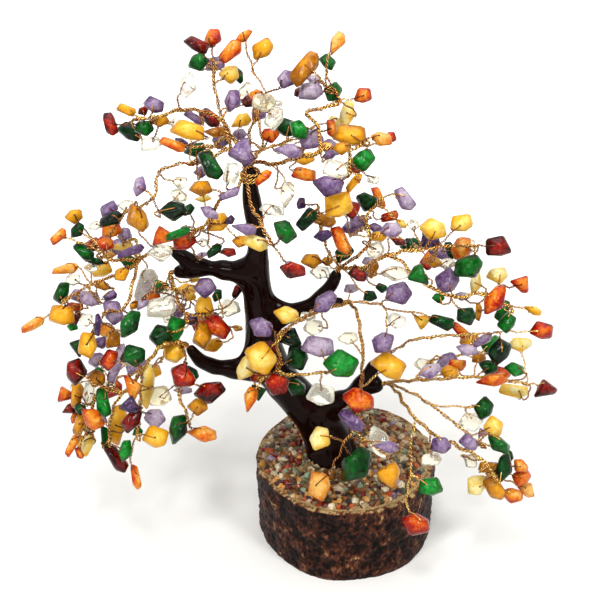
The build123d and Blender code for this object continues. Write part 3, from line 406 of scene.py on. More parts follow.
# %% Read the separate solids of a node
def solids_of(node):
    """Corners (n, 3) of each separate solid of a CAD node.

    Every corner starts with a label of its own, and each triangle spreads its lowest label to its
    corners until nothing changes: then a solid's corners share one label."""
    places, triangles = joined_triangles(node)
    label = np.arange(len(places))
    while True:
        lowest = label.copy()
        np.minimum.at(lowest, triangles.ravel(), np.repeat(label[triangles].min(axis=1), 3))
        if (lowest == label).all():
            break
        label = lowest
    names = np.unique(label[triangles[:, 0]])
    return [places[np.unique(triangles[label[triangles[:, 0]] == name])] for name in names]

# %% A stone from a sharp solid
swell = 1.14
unevenness = 0.085
peak_rise = 1.25
peak_spread = 0.35
chance = np.random.default_rng(seed)


def face_turns(points, triangles):
    """Each triangle's first corner, and the cross product of two of its edges."""
    first, second, third = points[triangles.T]
    return first, np.cross(second - first, third - first)


def turned_outward(points, triangles):
    """The triangles of a closed shape, those that face its middle turned round."""
    first, facing = face_turns(points, triangles)
    inward = (facing * (first - points.mean(axis=0))).sum(axis=1) < 0
    triangles[inward] = triangles[inward][:, ::-1]
    return triangles


def hull_triangles(points):
    """Triangles round the outside of a few points, all facing outward."""
    shell = bmesh.new()
    for point in points:
        shell.verts.new(point)
    bmesh.ops.convex_hull(shell, input=shell.verts)
    shell.verts.index_update()
    triangles = np.array([[corner.index for corner in face.verts] for face in shell.faces])
    shell.free()
    return turned_outward(points, triangles)


class Stone:
    """A chip: its centre, its three axes from longest to thinnest, its corners and faces."""

    def __init__(self, corners):
        self.centre = corners.mean(axis=0)
        offsets = corners - self.centre
        self.axes = np.linalg.svd(offsets, full_matrices=False)[2]
        if self.axes[2] @ (eye - self.centre) < 0:
            self.axes[2] *= -1
        self.halves = np.abs(offsets @ self.axes.T).max(axis=0)
        peaks = chance.uniform(-peak_spread, peak_spread, (2, 3)) * self.halves
        peaks[:, 2] = np.array([1, -1]) * self.halves[2] * chance.uniform(1.0, peak_rise, 2)
        offsets = offsets + chance.normal(0, unevenness * self.halves[1], offsets.shape)
        self.corners = self.centre + np.concatenate([offsets, peaks @ self.axes]) * swell
        self.triangles = hull_triangles(self.corners)
        first, facing = face_turns(self.corners, self.triangles)
        self.normals = unit(facing)
        self.heights = ((first - self.centre) * self.normals).sum(axis=1)
        self.pixel = pixel_of(self.centre)

    def distances(self, direction):
        """Distance along a direction d to the plane of each face: h / (n.d)."""
        return self.heights / np.clip(direction @ self.normals.T, 1e-6, None)

    def reach(self, directions):
        """Distance to the surface along directions: the least over the faces."""
        return self.distances(directions).min(axis=-1)

# %% [markdown]
# ## Which stones are dark and which are pale
#
# No two stones of a kind match. The ones below were noted from deep (0) to pale (1), each by
# the pixel of its middle. The others take a middle tone at random.

# %% Noted tones
noted_tones = {
    "aventurine": {
        0.0: [(174, 211), (291, 336), (291, 375), (499, 352), (111, 220)],
        0.2: [(78, 231), (160, 337), (192, 372), (298, 357), (370, 296), (504, 468), (130, 132),
              (77, 346), (308, 220), (367, 202), (466, 317)],
        0.35: [(238, 75), (209, 165), (188, 210), (214, 251), (62, 293), (94, 261), (218, 296),
               (134, 355), (80, 409), (178, 430), (88, 427), (296, 388), (260, 391), (357, 466),
               (442, 323), (344, 253), (409, 244), (450, 250), (382, 288), (489, 367), (484, 409),
               (508, 455)],
        0.55: [(144, 129), (198, 63), (327, 62), (333, 92), (284, 232), (83, 252), (130, 325),
               (160, 285), (105, 439), (138, 432), (417, 274), (468, 268), (503, 311), (507, 323),
               (498, 445)],
        0.78: [(298, 130), (362, 161), (178, 234), (175, 330), (102, 403), (126, 451), (341, 364),
               (438, 298), (514, 370), (430, 487)],
        1.0: [(72, 327)],
    },
    "yellow_stone": {
        0.08: [(306, 69), (113, 341), (95, 379), (216, 133), (489, 468), (479, 358)],
        0.25: [(160, 121), (201, 189), (341, 149), (137, 219), (240, 242), (287, 186), (102, 286),
               (203, 336), (134, 305), (77, 396), (80, 425), (198, 407), (82, 443), (324, 221),
               (311, 261), (373, 270), (434, 263), (327, 262), (479, 312), (494, 488)],
        0.4: [(126, 110), (263, 49), (350, 136), (354, 183), (74, 217), (121, 275), (61, 316),
              (213, 346), (388, 475), (449, 373)],
        0.58: [(188, 131), (217, 223), (88, 345), (190, 297), (205, 308), (117, 425), (156, 437),
               (174, 353), (389, 366), (424, 320), (338, 206), (532, 310)],
        0.75: [(229, 75), (287, 315), (261, 358), (433, 230), (462, 223), (401, 224), (493, 427)],
        0.95: [(348, 115), (335, 124), (255, 243), (203, 199), (123, 247), (194, 279), (147, 387),
               (88, 444), (246, 369), (320, 439), (476, 283), (497, 276), (520, 345), (513, 391),
               (477, 485)],
    },
    "carnelian": {
        0.05: [(77, 318), (213, 317), (248, 102)],
        0.18: [(196, 45), (143, 111), (238, 291), (76, 372), (69, 408), (131, 421), (116, 459),
               (209, 392), (270, 347), (398, 242), (358, 275), (497, 247), (544, 387)],
        0.35: [(110, 124), (228, 253), (292, 270), (182, 377), (275, 385), (353, 210)],
        0.5: [(391, 138), (355, 169), (184, 242), (217, 327), (110, 360), (257, 378), (542, 331),
              (415, 525)],
        0.63: [(213, 39), (363, 96), (162, 235), (105, 244), (75, 307), (153, 297), (64, 393),
               (79, 453), (75, 418), (358, 401), (522, 282), (495, 301), (390, 217), (460, 331),
               (491, 380), (522, 478)],
        0.78: [(172, 145), (263, 178), (231, 52), (244, 37), (255, 95), (331, 128), (304, 175),
               (59, 237), (111, 231), (107, 331), (93, 419), (72, 446), (134, 386), (136, 477),
               (201, 434), (250, 400), (378, 198), (340, 240), (462, 249), (457, 365), (520, 466),
               (512, 496)],
        0.93: [(337, 44), (381, 139), (326, 147), (66, 269), (33, 325), (108, 256), (237, 328),
               (320, 486), (527, 488)],
    },
    "amethyst": {
        0.06: [(230, 221), (181, 143), (98, 325), (191, 320), (130, 402), (301, 204), (323, 236),
               (430, 242)],
        0.4: [(201, 172), (329, 156), (328, 186), (109, 210), (131, 252), (110, 296), (101, 343),
              (351, 421), (447, 282), (375, 228)],
        0.52: [(154, 105), (194, 118), (243, 150), (233, 101), (244, 229), (205, 288), (325, 303),
               (260, 328), (386, 447), (383, 344), (398, 295), (358, 222), (469, 443), (441, 446)],
        0.65: [(286, 80), (140, 187), (209, 213), (125, 235), (113, 312), (96, 360), (483, 340),
               (482, 432), (230, 194), (311, 140), (288, 151), (239, 135), (215, 65)],
        0.85: [(314, 80), (310, 91), (202, 255), (85, 298), (141, 303), (117, 364), (154, 419),
               (103, 421), (183, 391), (351, 289), (318, 347), (404, 199), (391, 231), (368, 262),
               (462, 296), (467, 350), (430, 371)],
    },
    "quartz": {0.95: [(263, 103), (160, 397)], 0.05: [(396, 321), (321, 396), (378, 443)]},
}
note_reach, middle_tones = 5.0, (0.3, 0.7)


def tone_of(stone, kind):
    """The noted tone nearest to the stone's pixel, or a middle tone at random."""
    tone, least = chance.uniform(*middle_tones), note_reach
    for noted, pixels in noted_tones[kind].items():
        away = np.linalg.norm(np.array(pixels) - stone.pixel, axis=1).min()
        if away < least:
            tone, least = noted, away
    return tone

# %% Wear the stones and paint shade on their rims
wear_share = 11
flat_angle = math.radians(9)
# Painted shade on the stones' rims: the tone is darkened toward each stone's edge.
painted_rim_shade, rim_start, rim_end = 0.3, 0.35, 1.2
dent, dent_wave, dent_crossing = 0.07 * mm, 1500.0, 3


def worn(surface, name, own):
    """A mesh of sharp stones with worn edges, dented faces and painted shade at their rims.

    Dents are three crossed sines of the place. The rim gets painted shade: its tone is darker by
    the cube of the distance from the middle, measured in the stone's own half length and half
    width."""
    draft = add_object(name, surface.mesh(name + "_sharp"))
    joined = draft.modifiers.new("join flat faces", "DECIMATE")
    joined.decimate_type, joined.angle_limit = "DISSOLVE", flat_angle
    edges = draft.modifiers.new("wear", "BEVEL")
    edges.offset_type, edges.width_pct, edges.segments = "PERCENT", wear_share, 1
    edges.limit_method, edges.use_clamp_overlap = "NONE", False
    mesh = evaluated(draft)
    mesh.name = name
    points = read_rows(mesh.vertices, "co")
    tones = read_rows(mesh.attributes["tone"].data, "value", 1).ravel()
    numbers = read_rows(mesh.attributes["number"].data, "value", 1).ravel()
    stone = np.clip(np.rint(numbers).astype(int), 0, len(own) - 1)
    centres, axes, halves = (np.array([getattr(chip, part) for chip in own])[stone]
                             for part in ("centre", "axes", "halves"))
    offsets = points - centres
    shares = (np.einsum("nij,nj->ni", axes, offsets) / halves)[:, :2]
    rim = np.clip(np.linalg.norm(shares, axis=1), 0, rim_end)
    crossing = dent_crossing * np.sin(points * dent_wave * 0.6)
    waves = np.sin(points[:, [1, 2, 0]] * dent_wave + crossing)
    points = points + unit(offsets) * (dent * waves.sum(axis=1))[:, None]
    painted_rim_tones = np.clip(tones - painted_rim_shade * (rim ** 3 - rim_start), 0, 1)
    mesh.attributes["tone"].data.foreach_set("value", painted_rim_tones.astype(np.float32))
    return move_points(mesh, points)

# %% Make the stones
limbs = ["crown", "upper_left", "lower_left", "front", "upper_right", "lower_right"]
stones = {limb: [] for limb in limbs}
for limb in limbs:
    for kind in stone_finishes:
        word = kind.split("_")[0]
        node = f"{limb}_{word}_chips"
        surface, own = Surface(), []
        for corners in solids_of(node):
            stone = Stone(corners)
            surface.take(stone.corners, [stone.triangles], tone_of(stone, kind), len(own))
            own.append(stone)
        mesh = worn(surface, f"{limb}_{word}_stones", own)
        place_piece(mesh, stone_finishes[kind], [node])
        stones[limb] += own
all_stones = [stone for limb in limbs for stone in stones[limb]]
print(len(all_stones), "stones of about", len(mesh.polygons) // len(own), "faces")

# %% [markdown]
# ## The forks of the wire branches
#
# A branch is a bundle of wires that leaves the end of a limb and parts at forks until a single
# twisted wire is left for each stone. The forks are given by pixel, depth and the number of the
# fork that each grows from; 0 is the limb's end.

# %% Forks by limb end
branches = {
    "crown_wires": ("crown", [(250, 187, 0.0833), (250, 167, 0.0833)], [
        [(232, 150, 0.0, 0), (222, 120, 0.03, 1), (205, 112, 0.08, 2), (178, 110, 0.08, 3),
         (150, 118, 0.08, 4), (133, 120, 0.08, 5), (188, 146, -0.13, 1), (165, 143, -0.08, 7),
         (200, 162, -0.13, 1), (159, 172, -0.20, 9), (154, 197, -0.30, 10), (160, 216, -0.33, 11),
         (125, 212, 0.05, 11)],
        [(234, 140, 0.13, 0), (220, 112, 0.17, 1), (214, 85, 0.23, 2), (214, 60, 0.30, 3),
         (250, 130, 0.08, 0), (266, 93, 0.13, 5), (252, 71, 0.20, 6)],
        [(275, 164, 0.0, 0), (300, 157, -0.07, 1), (320, 151, -0.07, 2), (348, 150, -0.07, 3),
         (368, 140, 0.0, 4), (315, 122, 0.10, 3), (306, 113, 0.13, 6), (340, 100, 0.20, 7),
         (320, 80, 0.30, 8), (350, 175, -0.20, 4)],
        [(245, 158, -0.10, 0), (238, 188, -0.20, 1), (220, 200, -0.30, 2), (252, 208, -0.33, 1),
         (262, 225, -0.47, 4), (272, 245, -0.57, 5), (208, 222, -0.25, 3), (191, 236, -0.20, 7)],
        [(262, 150, 0.45, 0), (225, 138, 0.70, 1), (292, 140, 0.65, 1), (255, 105, 0.75, 1),
         (188, 165, 0.60, 2)],
    ]),
    "upper_left_wires": ("upper_left", [(190, 262, 0.18), (172, 249, 0.20)], [
        [(141, 258, 0.13, 0), (128, 270, 0.08, 1), (107, 258, 0.08, 1), (95, 240, 0.20, 3),
         (100, 281, 0.0, 2), (88, 286, -0.03, 5), (62, 302, -0.03, 6), (122, 310, -0.20, 1),
         (105, 313, -0.13, 8), (92, 332, -0.20, 9), (130, 240, 0.60, 1), (95, 262, 0.50, 11)],
    ]),
    "upper_left_low_wires": ("upper_left", [(189, 271, 0.18), (174, 272, 0.20)], [
        [(176, 290, 0.07, 0), (184, 312, -0.03, 1), (188, 326, -0.10, 2), (222, 318, 0.03, 2),
         (160, 281, 0.10, 1), (190, 300, 0.60, 0)],
    ]),
    "lower_left_wires": ("lower_left", [(201, 361, -0.10), (188, 346, -0.13)], [
        [(160, 346, -0.23, 0), (143, 370, -0.30, 1), (122, 393, -0.33, 2), (100, 388, -0.25, 3),
         (92, 410, -0.27, 4), (86, 435, -0.30, 5), (109, 430, -0.40, 3), (110, 448, -0.43, 7),
         (140, 408, -0.43, 2), (137, 437, -0.50, 9), (185, 362, -0.25, 0), (178, 388, -0.33, 11),
         (190, 425, -0.47, 12), (150, 368, 0.42, 0), (105, 382, 0.42, 14)],
    ]),
    "front_wires": ("front", [(328, 303, -0.02), (345, 302, -0.06)], [
        [(357, 314, -0.23, 0), (363, 354, -0.37, 1), (361, 386, -0.43, 2), (355, 428, -0.53, 3),
         (343, 444, -0.50, 4), (388, 456, -0.66, 4), (385, 308, -0.13, 0), (387, 330, -0.23, 7),
         (414, 312, -0.13, 7)],
        [(320, 311, -0.27, 0), (300, 320, -0.33, 1), (277, 338, -0.37, 2), (278, 370, -0.40, 3),
         (258, 380, -0.42, 4), (330, 372, -0.42, 4)],
    ]),
    "upper_right_wires": ("upper_right", [(332, 284, -0.02), (338, 271, -0.03)], [
        [(330, 255, -0.07, 0), (320, 225, -0.13, 1), (318, 205, -0.13, 2), (370, 240, -0.10, 0),
         (366, 216, 0.03, 4), (383, 198, 0.13, 5), (350, 235, 0.62, 4)],
        [(365, 268, -0.12, 0), (387, 255, -0.17, 1), (412, 250, -0.13, 2), (425, 249, -0.10, 3),
         (448, 246, -0.07, 4), (478, 246, 0.0, 5), (430, 287, -0.23, 2), (456, 297, -0.23, 7),
         (488, 294, -0.17, 8), (505, 286, -0.13, 9), (512, 309, -0.13, 9), (415, 245, 0.60, 3),
         (460, 255, 0.50, 12)],
    ]),
    "lower_right_high_wires": ("lower_right", [(366, 380, 0.0), (375, 362, 0.0)], [
        [(392, 352, -0.10, 0), (412, 340, -0.17, 1), (440, 336, -0.20, 2), (478, 334, -0.23, 3),
         (500, 332, -0.20, 4)],
    ]),
    "lower_right_wires": ("lower_right", [(368, 387, -0.02), (382, 384, -0.04)], [
        [(400, 381, -0.10, 0), (425, 380, -0.17, 1), (475, 377, -0.23, 2), (510, 381, -0.17, 3),
         (530, 385, -0.13, 4), (430, 404, -0.30, 0), (475, 407, -0.33, 6), (485, 448, -0.60, 6),
         (432, 360, 0.45, 2), (480, 352, 0.60, 9)],
        [(415, 418, -0.48, 0), (433, 434, -0.55, 1), (485, 462, -0.67, 2), (500, 482, -0.73, 3),
         (411, 440, -0.60, 1), (411, 472, -0.77, 5)],
    ]),
}
limb_grip = 5.0 * mm
grip_lead = 1.6 * mm
forks_tried = 4


class Fork:
    """A fork: its place, the fork it grows from and the stones that hang from it."""

    def __init__(self, place, parent):
        self.place, self.parent = place, parent
        self.stones, self.children, self.wires = [], [], 0
        if parent:
            parent.children.append(self)

    def carry(self):
        """Count one more wire here and in every bundle back to the limb."""
        self.wires += 1
        if self.parent:
            self.parent.carry()

roots, forks_of_limb = {}, {limb: [] for limb in limbs}
for name, (limb, ends, sprays) in branches.items():
    inner, tip = (at_depth(*end) for end in ends)
    root = Fork(tip + unit(tip - inner) * grip_lead, None)
    root.grip = tip - unit(tip - inner) * limb_grip
    grown_here = [root]
    for rows in sprays:
        grown = [root]
        for pixel_x, pixel_y, depth_share, parent in rows:
            grown.append(Fork(at_depth(pixel_x, pixel_y, depth_share), grown[parent]))
        grown_here += grown[1:]
    roots[name] = grown_here
    forks_of_limb[limb] += grown_here

centres = np.array([stone.centre for stone in all_stones])
half_widths = np.array([stone.halves[1] for stone in all_stones])
for limb in limbs:
    for stone in stones[limb]:
        near = sorted(forks_of_limb[limb], key=lambda f: np.linalg.norm(f.place - stone.centre))
        stone.fork = near[0]
        for fork in near[:forks_tried]:
            run = stone.centre - fork.place
            share = (centres - fork.place) @ run / (run @ run)
            miss = np.linalg.norm(centres - fork.place - run * share[:, None], axis=1)
            other = np.linalg.norm(centres - stone.centre, axis=1) > 0
            if not (other & (share > 0) & (share < 1) & (miss < half_widths)).any():
                stone.fork = fork
                break
        stone.fork.stones.append(stone)
        stone.fork.carry()
print(sum(len(f) for f in forks_of_limb.values()), "forks")

# %% [markdown]
# ## Twisted wire
#
# Copper wire is bent round each stone and twisted back on itself, so even the thinnest branch is
# a pair of strands, and a bundle is several such pairs laid loosely round each other. A strand is
# a quick helix round its pair's curve and that curve is a slow helix round the bundle's:
# place = curve + reach (cos p side + sin p up), and the angle p grows with the length. The curves
# are Hermite spans, so the wires bend as wire does and never kink.

# %% Curves and windings
def hermite(start, start_lead, end, end_lead):
    """Cubic from start to end with the given leads, in steps of about a wire step."""
    steps = max(fewest_steps, int(np.linalg.norm(end - start) / wire_step) + 1)
    t = np.linspace(0, 1, steps)[:, None]
    return ((2 * t ** 3 - 3 * t ** 2 + 1) * start + (t ** 3 - 2 * t ** 2 + t) * start_lead
            + (3 * t ** 2 - 2 * t ** 3) * end + (t ** 3 - t ** 2) * end_lead)


def wound(curve, reach, pitch, phase):
    """A helix round a curve: place = curve + reach (cos p side + sin p up), p = 2 pi s / pitch."""
    side, up = sides_of(curve)
    length = np.concatenate([[0], np.cumsum(np.linalg.norm(np.diff(curve, axis=0), axis=1))])
    angle = phase + 2 * np.pi * length / pitch
    reach = np.broadcast_to(reach, angle.shape)[:, None]
    return curve + reach * round_line(angle, side, up)


def bent(curve):
    """A curve with the small bends of hand-twisted wire: slow sines that fade out at both ends."""
    share = np.linspace(0, 1, len(curve))[:, None]
    length = np.linalg.norm(np.diff(curve, axis=0), axis=1).sum()
    turns = length / bend_length * copper_tones.uniform(0.7, 1.3, 3)
    return curve + bend_reach * np.sin(np.pi * share) * np.sin(
        2 * np.pi * (share * turns + copper_tones.uniform(0, 1, 3)))


wire_step, fewest_steps = 0.4 * mm, 5
bend_length, bend_reach = 9.0 * mm, 0.35 * mm
copper_tones = np.random.default_rng(seed + 1)

# %% Pairs and bundles
strand_radius, strand_gap = 0.23 * mm, 0.07 * mm
strand_sides = 4
pair_pitch, bundle_pitch = 3.4 * mm, 12.0 * mm
bundle_looseness, bundle_sway = 1.5, 0.25
strand_tone_spread, pair_tone_spread = 0.06, 0.12


def twisted_pair(surface, curve, tone, cores=()):
    """Two strands wound round each other along a curve."""
    phase = copper_tones.uniform(0, 2 * np.pi)
    for turn in (0, np.pi):
        strand = wound(curve, strand_radius + strand_gap, pair_pitch, phase + turn)
        tube(surface, strand, strand_radius, strand_sides,
             tone + copper_tones.normal(0, strand_tone_spread), (curve, *cores))


def bundle(surface, curve, pairs, tone):
    """Twisted pairs laid round each other along a curve, closer in some places than in others."""
    if pairs == 1:
        twisted_pair(surface, curve, tone)
        return
    reach = bundle_looseness * strand_radius / math.sin(math.pi / pairs)
    phase = copper_tones.uniform(0, 2 * np.pi)
    share = np.linspace(0, 1, len(curve))
    for pair in range(pairs):
        sway = 1 + bundle_sway * np.sin(
            2 * np.pi * (share * copper_tones.uniform(0.6, 1.6) + copper_tones.uniform()))
        lay = wound(curve, reach * sway, bundle_pitch, phase + 2 * np.pi * pair / pairs)
        # Each pair also gets painted shade on the side that faces the bundle's curve.
        twisted_pair(surface, lay, tone + copper_tones.normal(0, pair_tone_spread), (curve,))

# %% The loop through a stone's drilled hole, and painted shade at the hole's mouth
loop_clearance = 0.05 * mm
loop_twist = 0.9 * mm
loop_steps = 7
loop_start, loop_depth = math.radians(8), 0.6
loop_sides = 5
middle_holes, middle_share = 0.25, 0.05
rim_shares = 0.45, 0.75
hole_radius = 0.4 * mm
hole_rise, hole_depth = 0.03 * mm, 0.5 * mm
hole_sides = 9
broadside = 0.35


def hanging_side(stone, start):
    """Direction on the stone's broad plane that points to where its wire comes from."""
    toward = start - stone.centre
    flat = toward - stone.axes[2] * (toward @ stone.axes[2])
    if np.linalg.norm(flat) < broadside * np.linalg.norm(toward):
        flat = stone.axes[0] * (1 if stone.axes[0] @ toward >= 0 else -1)
    return unit(flat)


def add_loop(surface, stone, out, tone):
    """The wire's loop: through the drilled hole, over both faces and together at the rim.

    The hole is at a share of the way from the stone's middle to its rim."""
    share = middle_share if chance.uniform() < middle_holes else chance.uniform(*rim_shares)
    turn = math.atan2(stone.halves[2], share * stone.reach(out))
    sweep = np.linspace(loop_start, turn, loop_steps)
    sides = []
    for face in (stone.axes[2], -stone.axes[2]):
        rays = round_line(sweep, out, face)
        hole = stone.centre + rays[-1:] * stone.reach(rays[-1]) * loop_depth
        over = rays * (stone.reach(rays) + strand_radius + loop_clearance)[:, None]
        sides.append((rays, stone.centre + over, hole))
    (rays, front, hole), (_, back, hole_back) = sides
    stone.hole = rays[-1]
    rim = stone.centre + out * (stone.reach(out) + loop_twist)
    path = np.concatenate([hole_back, back[::-1], rim[None], front, hole])
    tube(surface, path, strand_radius, loop_sides, tone)
    return rim


def add_hole_plug_shade(surface, stone):
    """Painted shade at a drilled hole's mouth on the front face: a small dark ring sunk into it."""
    distances = stone.distances(stone.hole)
    normal = stone.normals[np.argmin(distances)]
    middle = stone.centre + stone.hole * distances.min()
    side = unit(np.cross(normal, stone.axes[0]))
    angle = np.linspace(0, 2 * np.pi, hole_sides, endpoint=False)
    ring = middle + hole_radius * round_line(angle, side, np.cross(normal, side))
    surface.take([ring + normal * hole_rise, ring - normal * hole_depth], tube_faces(2, hole_sides))

# %% [markdown]
# ## Copper
#
# The wire is bare copper, rusty brown in most places and gold in some. Branches at the right are
# more golden than the rest.

# %% Copper finish
copper = clouded_material(
    "copper_wire",
    [(0.0, (0.012, 0.004, 0.002)), (0.3, (0.09, 0.022, 0.009)), (0.6, (0.36, 0.115, 0.034)),
     (0.85, (0.66, 0.33, 0.06)), (1.0, (0.92, 0.68, 0.19))],
    220, 0.8, 0.0, 0.0, 0.0, {"Metallic": 0.9, "Roughness": 0.25})
# Painted shade: a dark brown that stands for the shade inside a drilled hole.
hole_painted_shade = clouded_material(
    "drilled_hole", [(0.0, (0.02, 0.012, 0.008)), (1.0, (0.07, 0.035, 0.02))], 900, 0.6,
    sockets={"Roughness": 0.8})

# %% Make the wires
pairs_for_wires = [(3, 1), (9, 2), (24, 3), (10 ** 3, 4)]
grip_pairs, grip_tone = 5, 0.4
extra_gold = {"lower_right_wires": 0.3, "lower_right_high_wires": 0.25, "upper_right_wires": 0.12,
              "front_wires": 0.1}
bundle_tones, wire_tones = (0.12, 0.55), (0.2, 0.75)
fork_spacing, most_of_run = 2.0 * mm, 0.7
bundle_turn, wire_turn, loop_lead = 1.5, 1.6, 0.8


def add_bundles(surface, forks, gold):
    """A bundle from the limb's grip, and one from each fork's parent to the fork."""
    root = forks[0]
    for fork in forks:
        outward = fork.place - (fork.parent.place if fork.parent else root.grip)
        main = max((child for child in fork.children if child.wires), default=None,
                   key=lambda child: child.wires)
        onward = unit(main.place - fork.place) if main else unit(outward)
        fork.heading = unit(unit(outward) + onward)
    lead = root.place - root.grip
    bundle(surface, hermite(root.grip, lead, root.place, lead), grip_pairs, grip_tone)
    for fork in forks[1:]:
        if fork.wires:
            run = fork.place - fork.parent.place
            span = np.linalg.norm(run)
            leave = unit(fork.parent.heading + bundle_turn * unit(run))
            curve = hermite(fork.parent.place, leave * span, fork.place, fork.heading * span)
            pairs = next(count for most, count in pairs_for_wires if fork.wires < most)
            bundle(surface, bent(curve), pairs, gold + copper_tones.uniform(*bundle_tones))


def hang_stones(surface, fork, gold):
    """A twisted pair and a loop for each stone of a fork, leaving one after another."""
    for step, stone in enumerate(fork.stones):
        start = fork.place
        if fork.parent:
            back = fork.parent.place - fork.place
            span = np.linalg.norm(back)
            start = fork.place + unit(back) * min(step * fork_spacing, span * most_of_run)
        out = hanging_side(stone, start)
        tone = gold + copper_tones.uniform(*wire_tones)
        rim = add_loop(surface, stone, out, tone)
        span = np.linalg.norm(rim - start)
        leave = unit(fork.heading + wire_turn * unit(rim - start))
        curve = hermite(start, leave * span, rim, -out * span * loop_lead)
        twisted_pair(surface, bent(curve), tone)


for name, forks in roots.items():
    surface = Surface()
    gold = extra_gold.get(name, 0)
    add_bundles(surface, forks, gold)
    for fork in forks:
        hang_stones(surface, fork, gold)
    mesh = surface.mesh(name.replace("wires", "branch"))
    place_piece(mesh, copper, [name])
    print(mesh.name, len(mesh.polygons), "faces")

# A dark plug of painted shade at the mouth of every stone's hole.
hole_plugs_shade = Surface()
for stone in all_stones:
    add_hole_plug_shade(hole_plugs_shade, stone)
place_piece(hole_plugs_shade.mesh("drilled_holes"), hole_painted_shade, [])

# %% [markdown]
# ## The trunk
#
# The trunk is one moulding, lacquered nearly black. Its CAD solid is made of straight fluted
# lengths; the real one flows from the foot into its limbs. A merged copy is pushed outward by the
# radius of the fillets, joined by a voxel remesh and drawn back by the same radius, which fills the
# crotches. The push fades out along the limbs, so that their ends stay apart. Smoothing rounds the
# rest, and a ripple that follows the height gives shallow flutes.

# %% Fillets: push out, join and draw back
def rebuilt(mesh, rounds):
    """The mesh joined by a voxel remesh and smoothed."""
    draft = add_object("trunk_draft", mesh)
    remesh = draft.modifiers.new("remesh", "REMESH")
    remesh.mode, remesh.voxel_size = "VOXEL", trunk_voxel
    smooth = draft.modifiers.new("smooth", "SMOOTH")
    smooth.factor, smooth.iterations = 0.5, rounds
    return evaluated(draft)


def crotch_share(points):
    """1 near the trunk's line and 0 out on the limbs, by a smooth step of the distance."""
    start, run = trunk_line[:-1], np.diff(trunk_line, axis=0)
    share = np.clip(((points[:, None] - start) * run).sum(axis=-1) / (run * run).sum(axis=-1), 0, 1)
    away = np.linalg.norm(points[:, None] - start - run * share[..., None], axis=-1).min(axis=1)
    return smooth_step(np.clip((limb_reach - away) / (limb_reach - crotch_reach), 0, 1))


def pushed(mesh, distance, rounds):
    """The mesh with its points moved along their normals, by the distance times the crotch share.

    On the way back the share is that of the place moved to, which is found in a few rounds."""
    points = moved = read_rows(mesh.vertices, "co")
    normals = read_rows(mesh.vertex_normals, "vector")
    for _ in range(rounds):
        moved = points + normals * (distance * crotch_share(moved))[:, None]
    return move_points(mesh, moved)


trunk_pixels = [(320, 425), (278, 377), (261, 343), (258, 300), (258, 256), (252, 200)]
trunk_depth_share = 0.083
trunk_line = np.array([at_depth(x, y, trunk_depth_share) for x, y in trunk_pixels])
crotch_reach, limb_reach = 16 * mm, 31 * mm
fillet, trunk_voxel = 6.5 * mm, 0.8 * mm
rounds_joined, rounds_filled, rounds_last, rounds_back = 4, 6, 24, 5
places, triangles = joined_triangles("trunk")
trunk_mesh = rebuilt(new_mesh("trunk_copy", places, triangles.tolist()), rounds_joined)
trunk_mesh = rebuilt(pushed(trunk_mesh, fillet, 1), rounds_filled)
trunk_mesh = rebuilt(pushed(trunk_mesh, -fillet, rounds_back), rounds_last)
trunk_mesh.name = "moulded_trunk"

# %% Flutes, foot and lacquer
smoothing_shrink = 0.6 * mm
flute_depth = 0.25 * mm
foot_band = 1.0 * mm
foot_height, foot_spread = 40.0 * mm, 18.0 * mm
foot_growth, foot_shift = 0.28, np.array([1.0, -1.6]) * mm
lowest = 0.4 * mm
trunk_tone = 0.4


def flutes(points):
    """Products of slow sines of the place in mm, whose crests lean as they climb."""
    x, y, z = points.T / mm
    return (np.sin(0.5 * x + 0.4 * y + 0.10 * z) * np.sin(0.4 * y - 0.3 * x + 0.07 * z)
            + 0.8 * np.sin(0.25 * z + 0.3 * x) * np.sin(0.3 * x - 0.4 * y))


points = read_rows(trunk_mesh.vertices, "co")
normals = read_rows(trunk_mesh.vertex_normals, "vector")
points += normals * (smoothing_shrink + flute_depth * flutes(points))[:, None]
foot = points[points[:, 2] < points[:, 2].min() + foot_band].mean(axis=0)[:2]
low_share = np.clip(1 - (points[:, 2] - foot_height) / foot_spread, 0, 1) ** 2
points[:, :2] += ((points[:, :2] - foot) * foot_growth + foot_shift) * low_share[:, None]
points[:, 2] = np.clip(points[:, 2], lowest, None)
trunk_mesh.materials.clear()
finish_mesh(move_points(trunk_mesh, points), True, tone=np.full(len(points), trunk_tone))
lacquer = clouded_material(
    "trunk_lacquer",
    [(0.0, (0.002, 0.0006, 0.0004)), (0.5, (0.008, 0.0018, 0.001)), (1.0, (0.045, 0.009, 0.004))],
    90, 0.9, 0.6, 0.3, 420, {"Roughness": 0.06, "Specular IOR Level": 0.06, "IOR": 1.5},
    relief_height=0.35 * mm)
place_piece(trunk_mesh, lacquer, ["trunk"])
print("trunk", len(trunk_mesh.polygons), "faces")

# %% [markdown]
# ## The binding
#
# Copper wire is wound round the top of the trunk, where the crown's bundle comes out. The first
# winding follows the helix of its solid and the second crosses it. Both are twisted pairs.

# %% Wind the binding
inner, tip = at_depth(250, 187, 0.0833), at_depth(250, 167, 0.0833)
axis = unit(tip - inner)
across = np.array([0, 1.0, 0])
across = unit(across - axis * (across @ axis))
beside = np.cross(axis, across)
low, high = (np.array(corner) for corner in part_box("trunk_binding"))
binding_radius = (high - low)[0] / 2 - 0.4 * mm
binding_height = 4.5 * mm
binding_tone = 0.6
steps_per_turn = 60
surface = Surface()
for turns, lean, phase in ((3.0, 1.0, 0.0), (2.0, -1.0, 2.1)):
    angle = np.linspace(0, 2 * np.pi * turns, int(steps_per_turn * turns))
    rise = (angle / (2 * np.pi * turns) - 0.5) * binding_height * lean
    curve = (low + high) / 2 + axis * rise[:, None]
    curve += binding_radius * round_line(angle + phase, across, beside)
    twisted_pair(surface, curve, binding_tone)
place_piece(surface.mesh("crown_binding"), copper, ["trunk_binding"])

# %% [markdown]
# ## The log slice
#
# The bark is a skin of small plates and furrows over an uneven round. Its surface is a function
# of the angle and the height: the log's outline, plus ridges from noises that are stretched up
# the log. The profile goes up the outside, over a crumbled edge and down the inside.

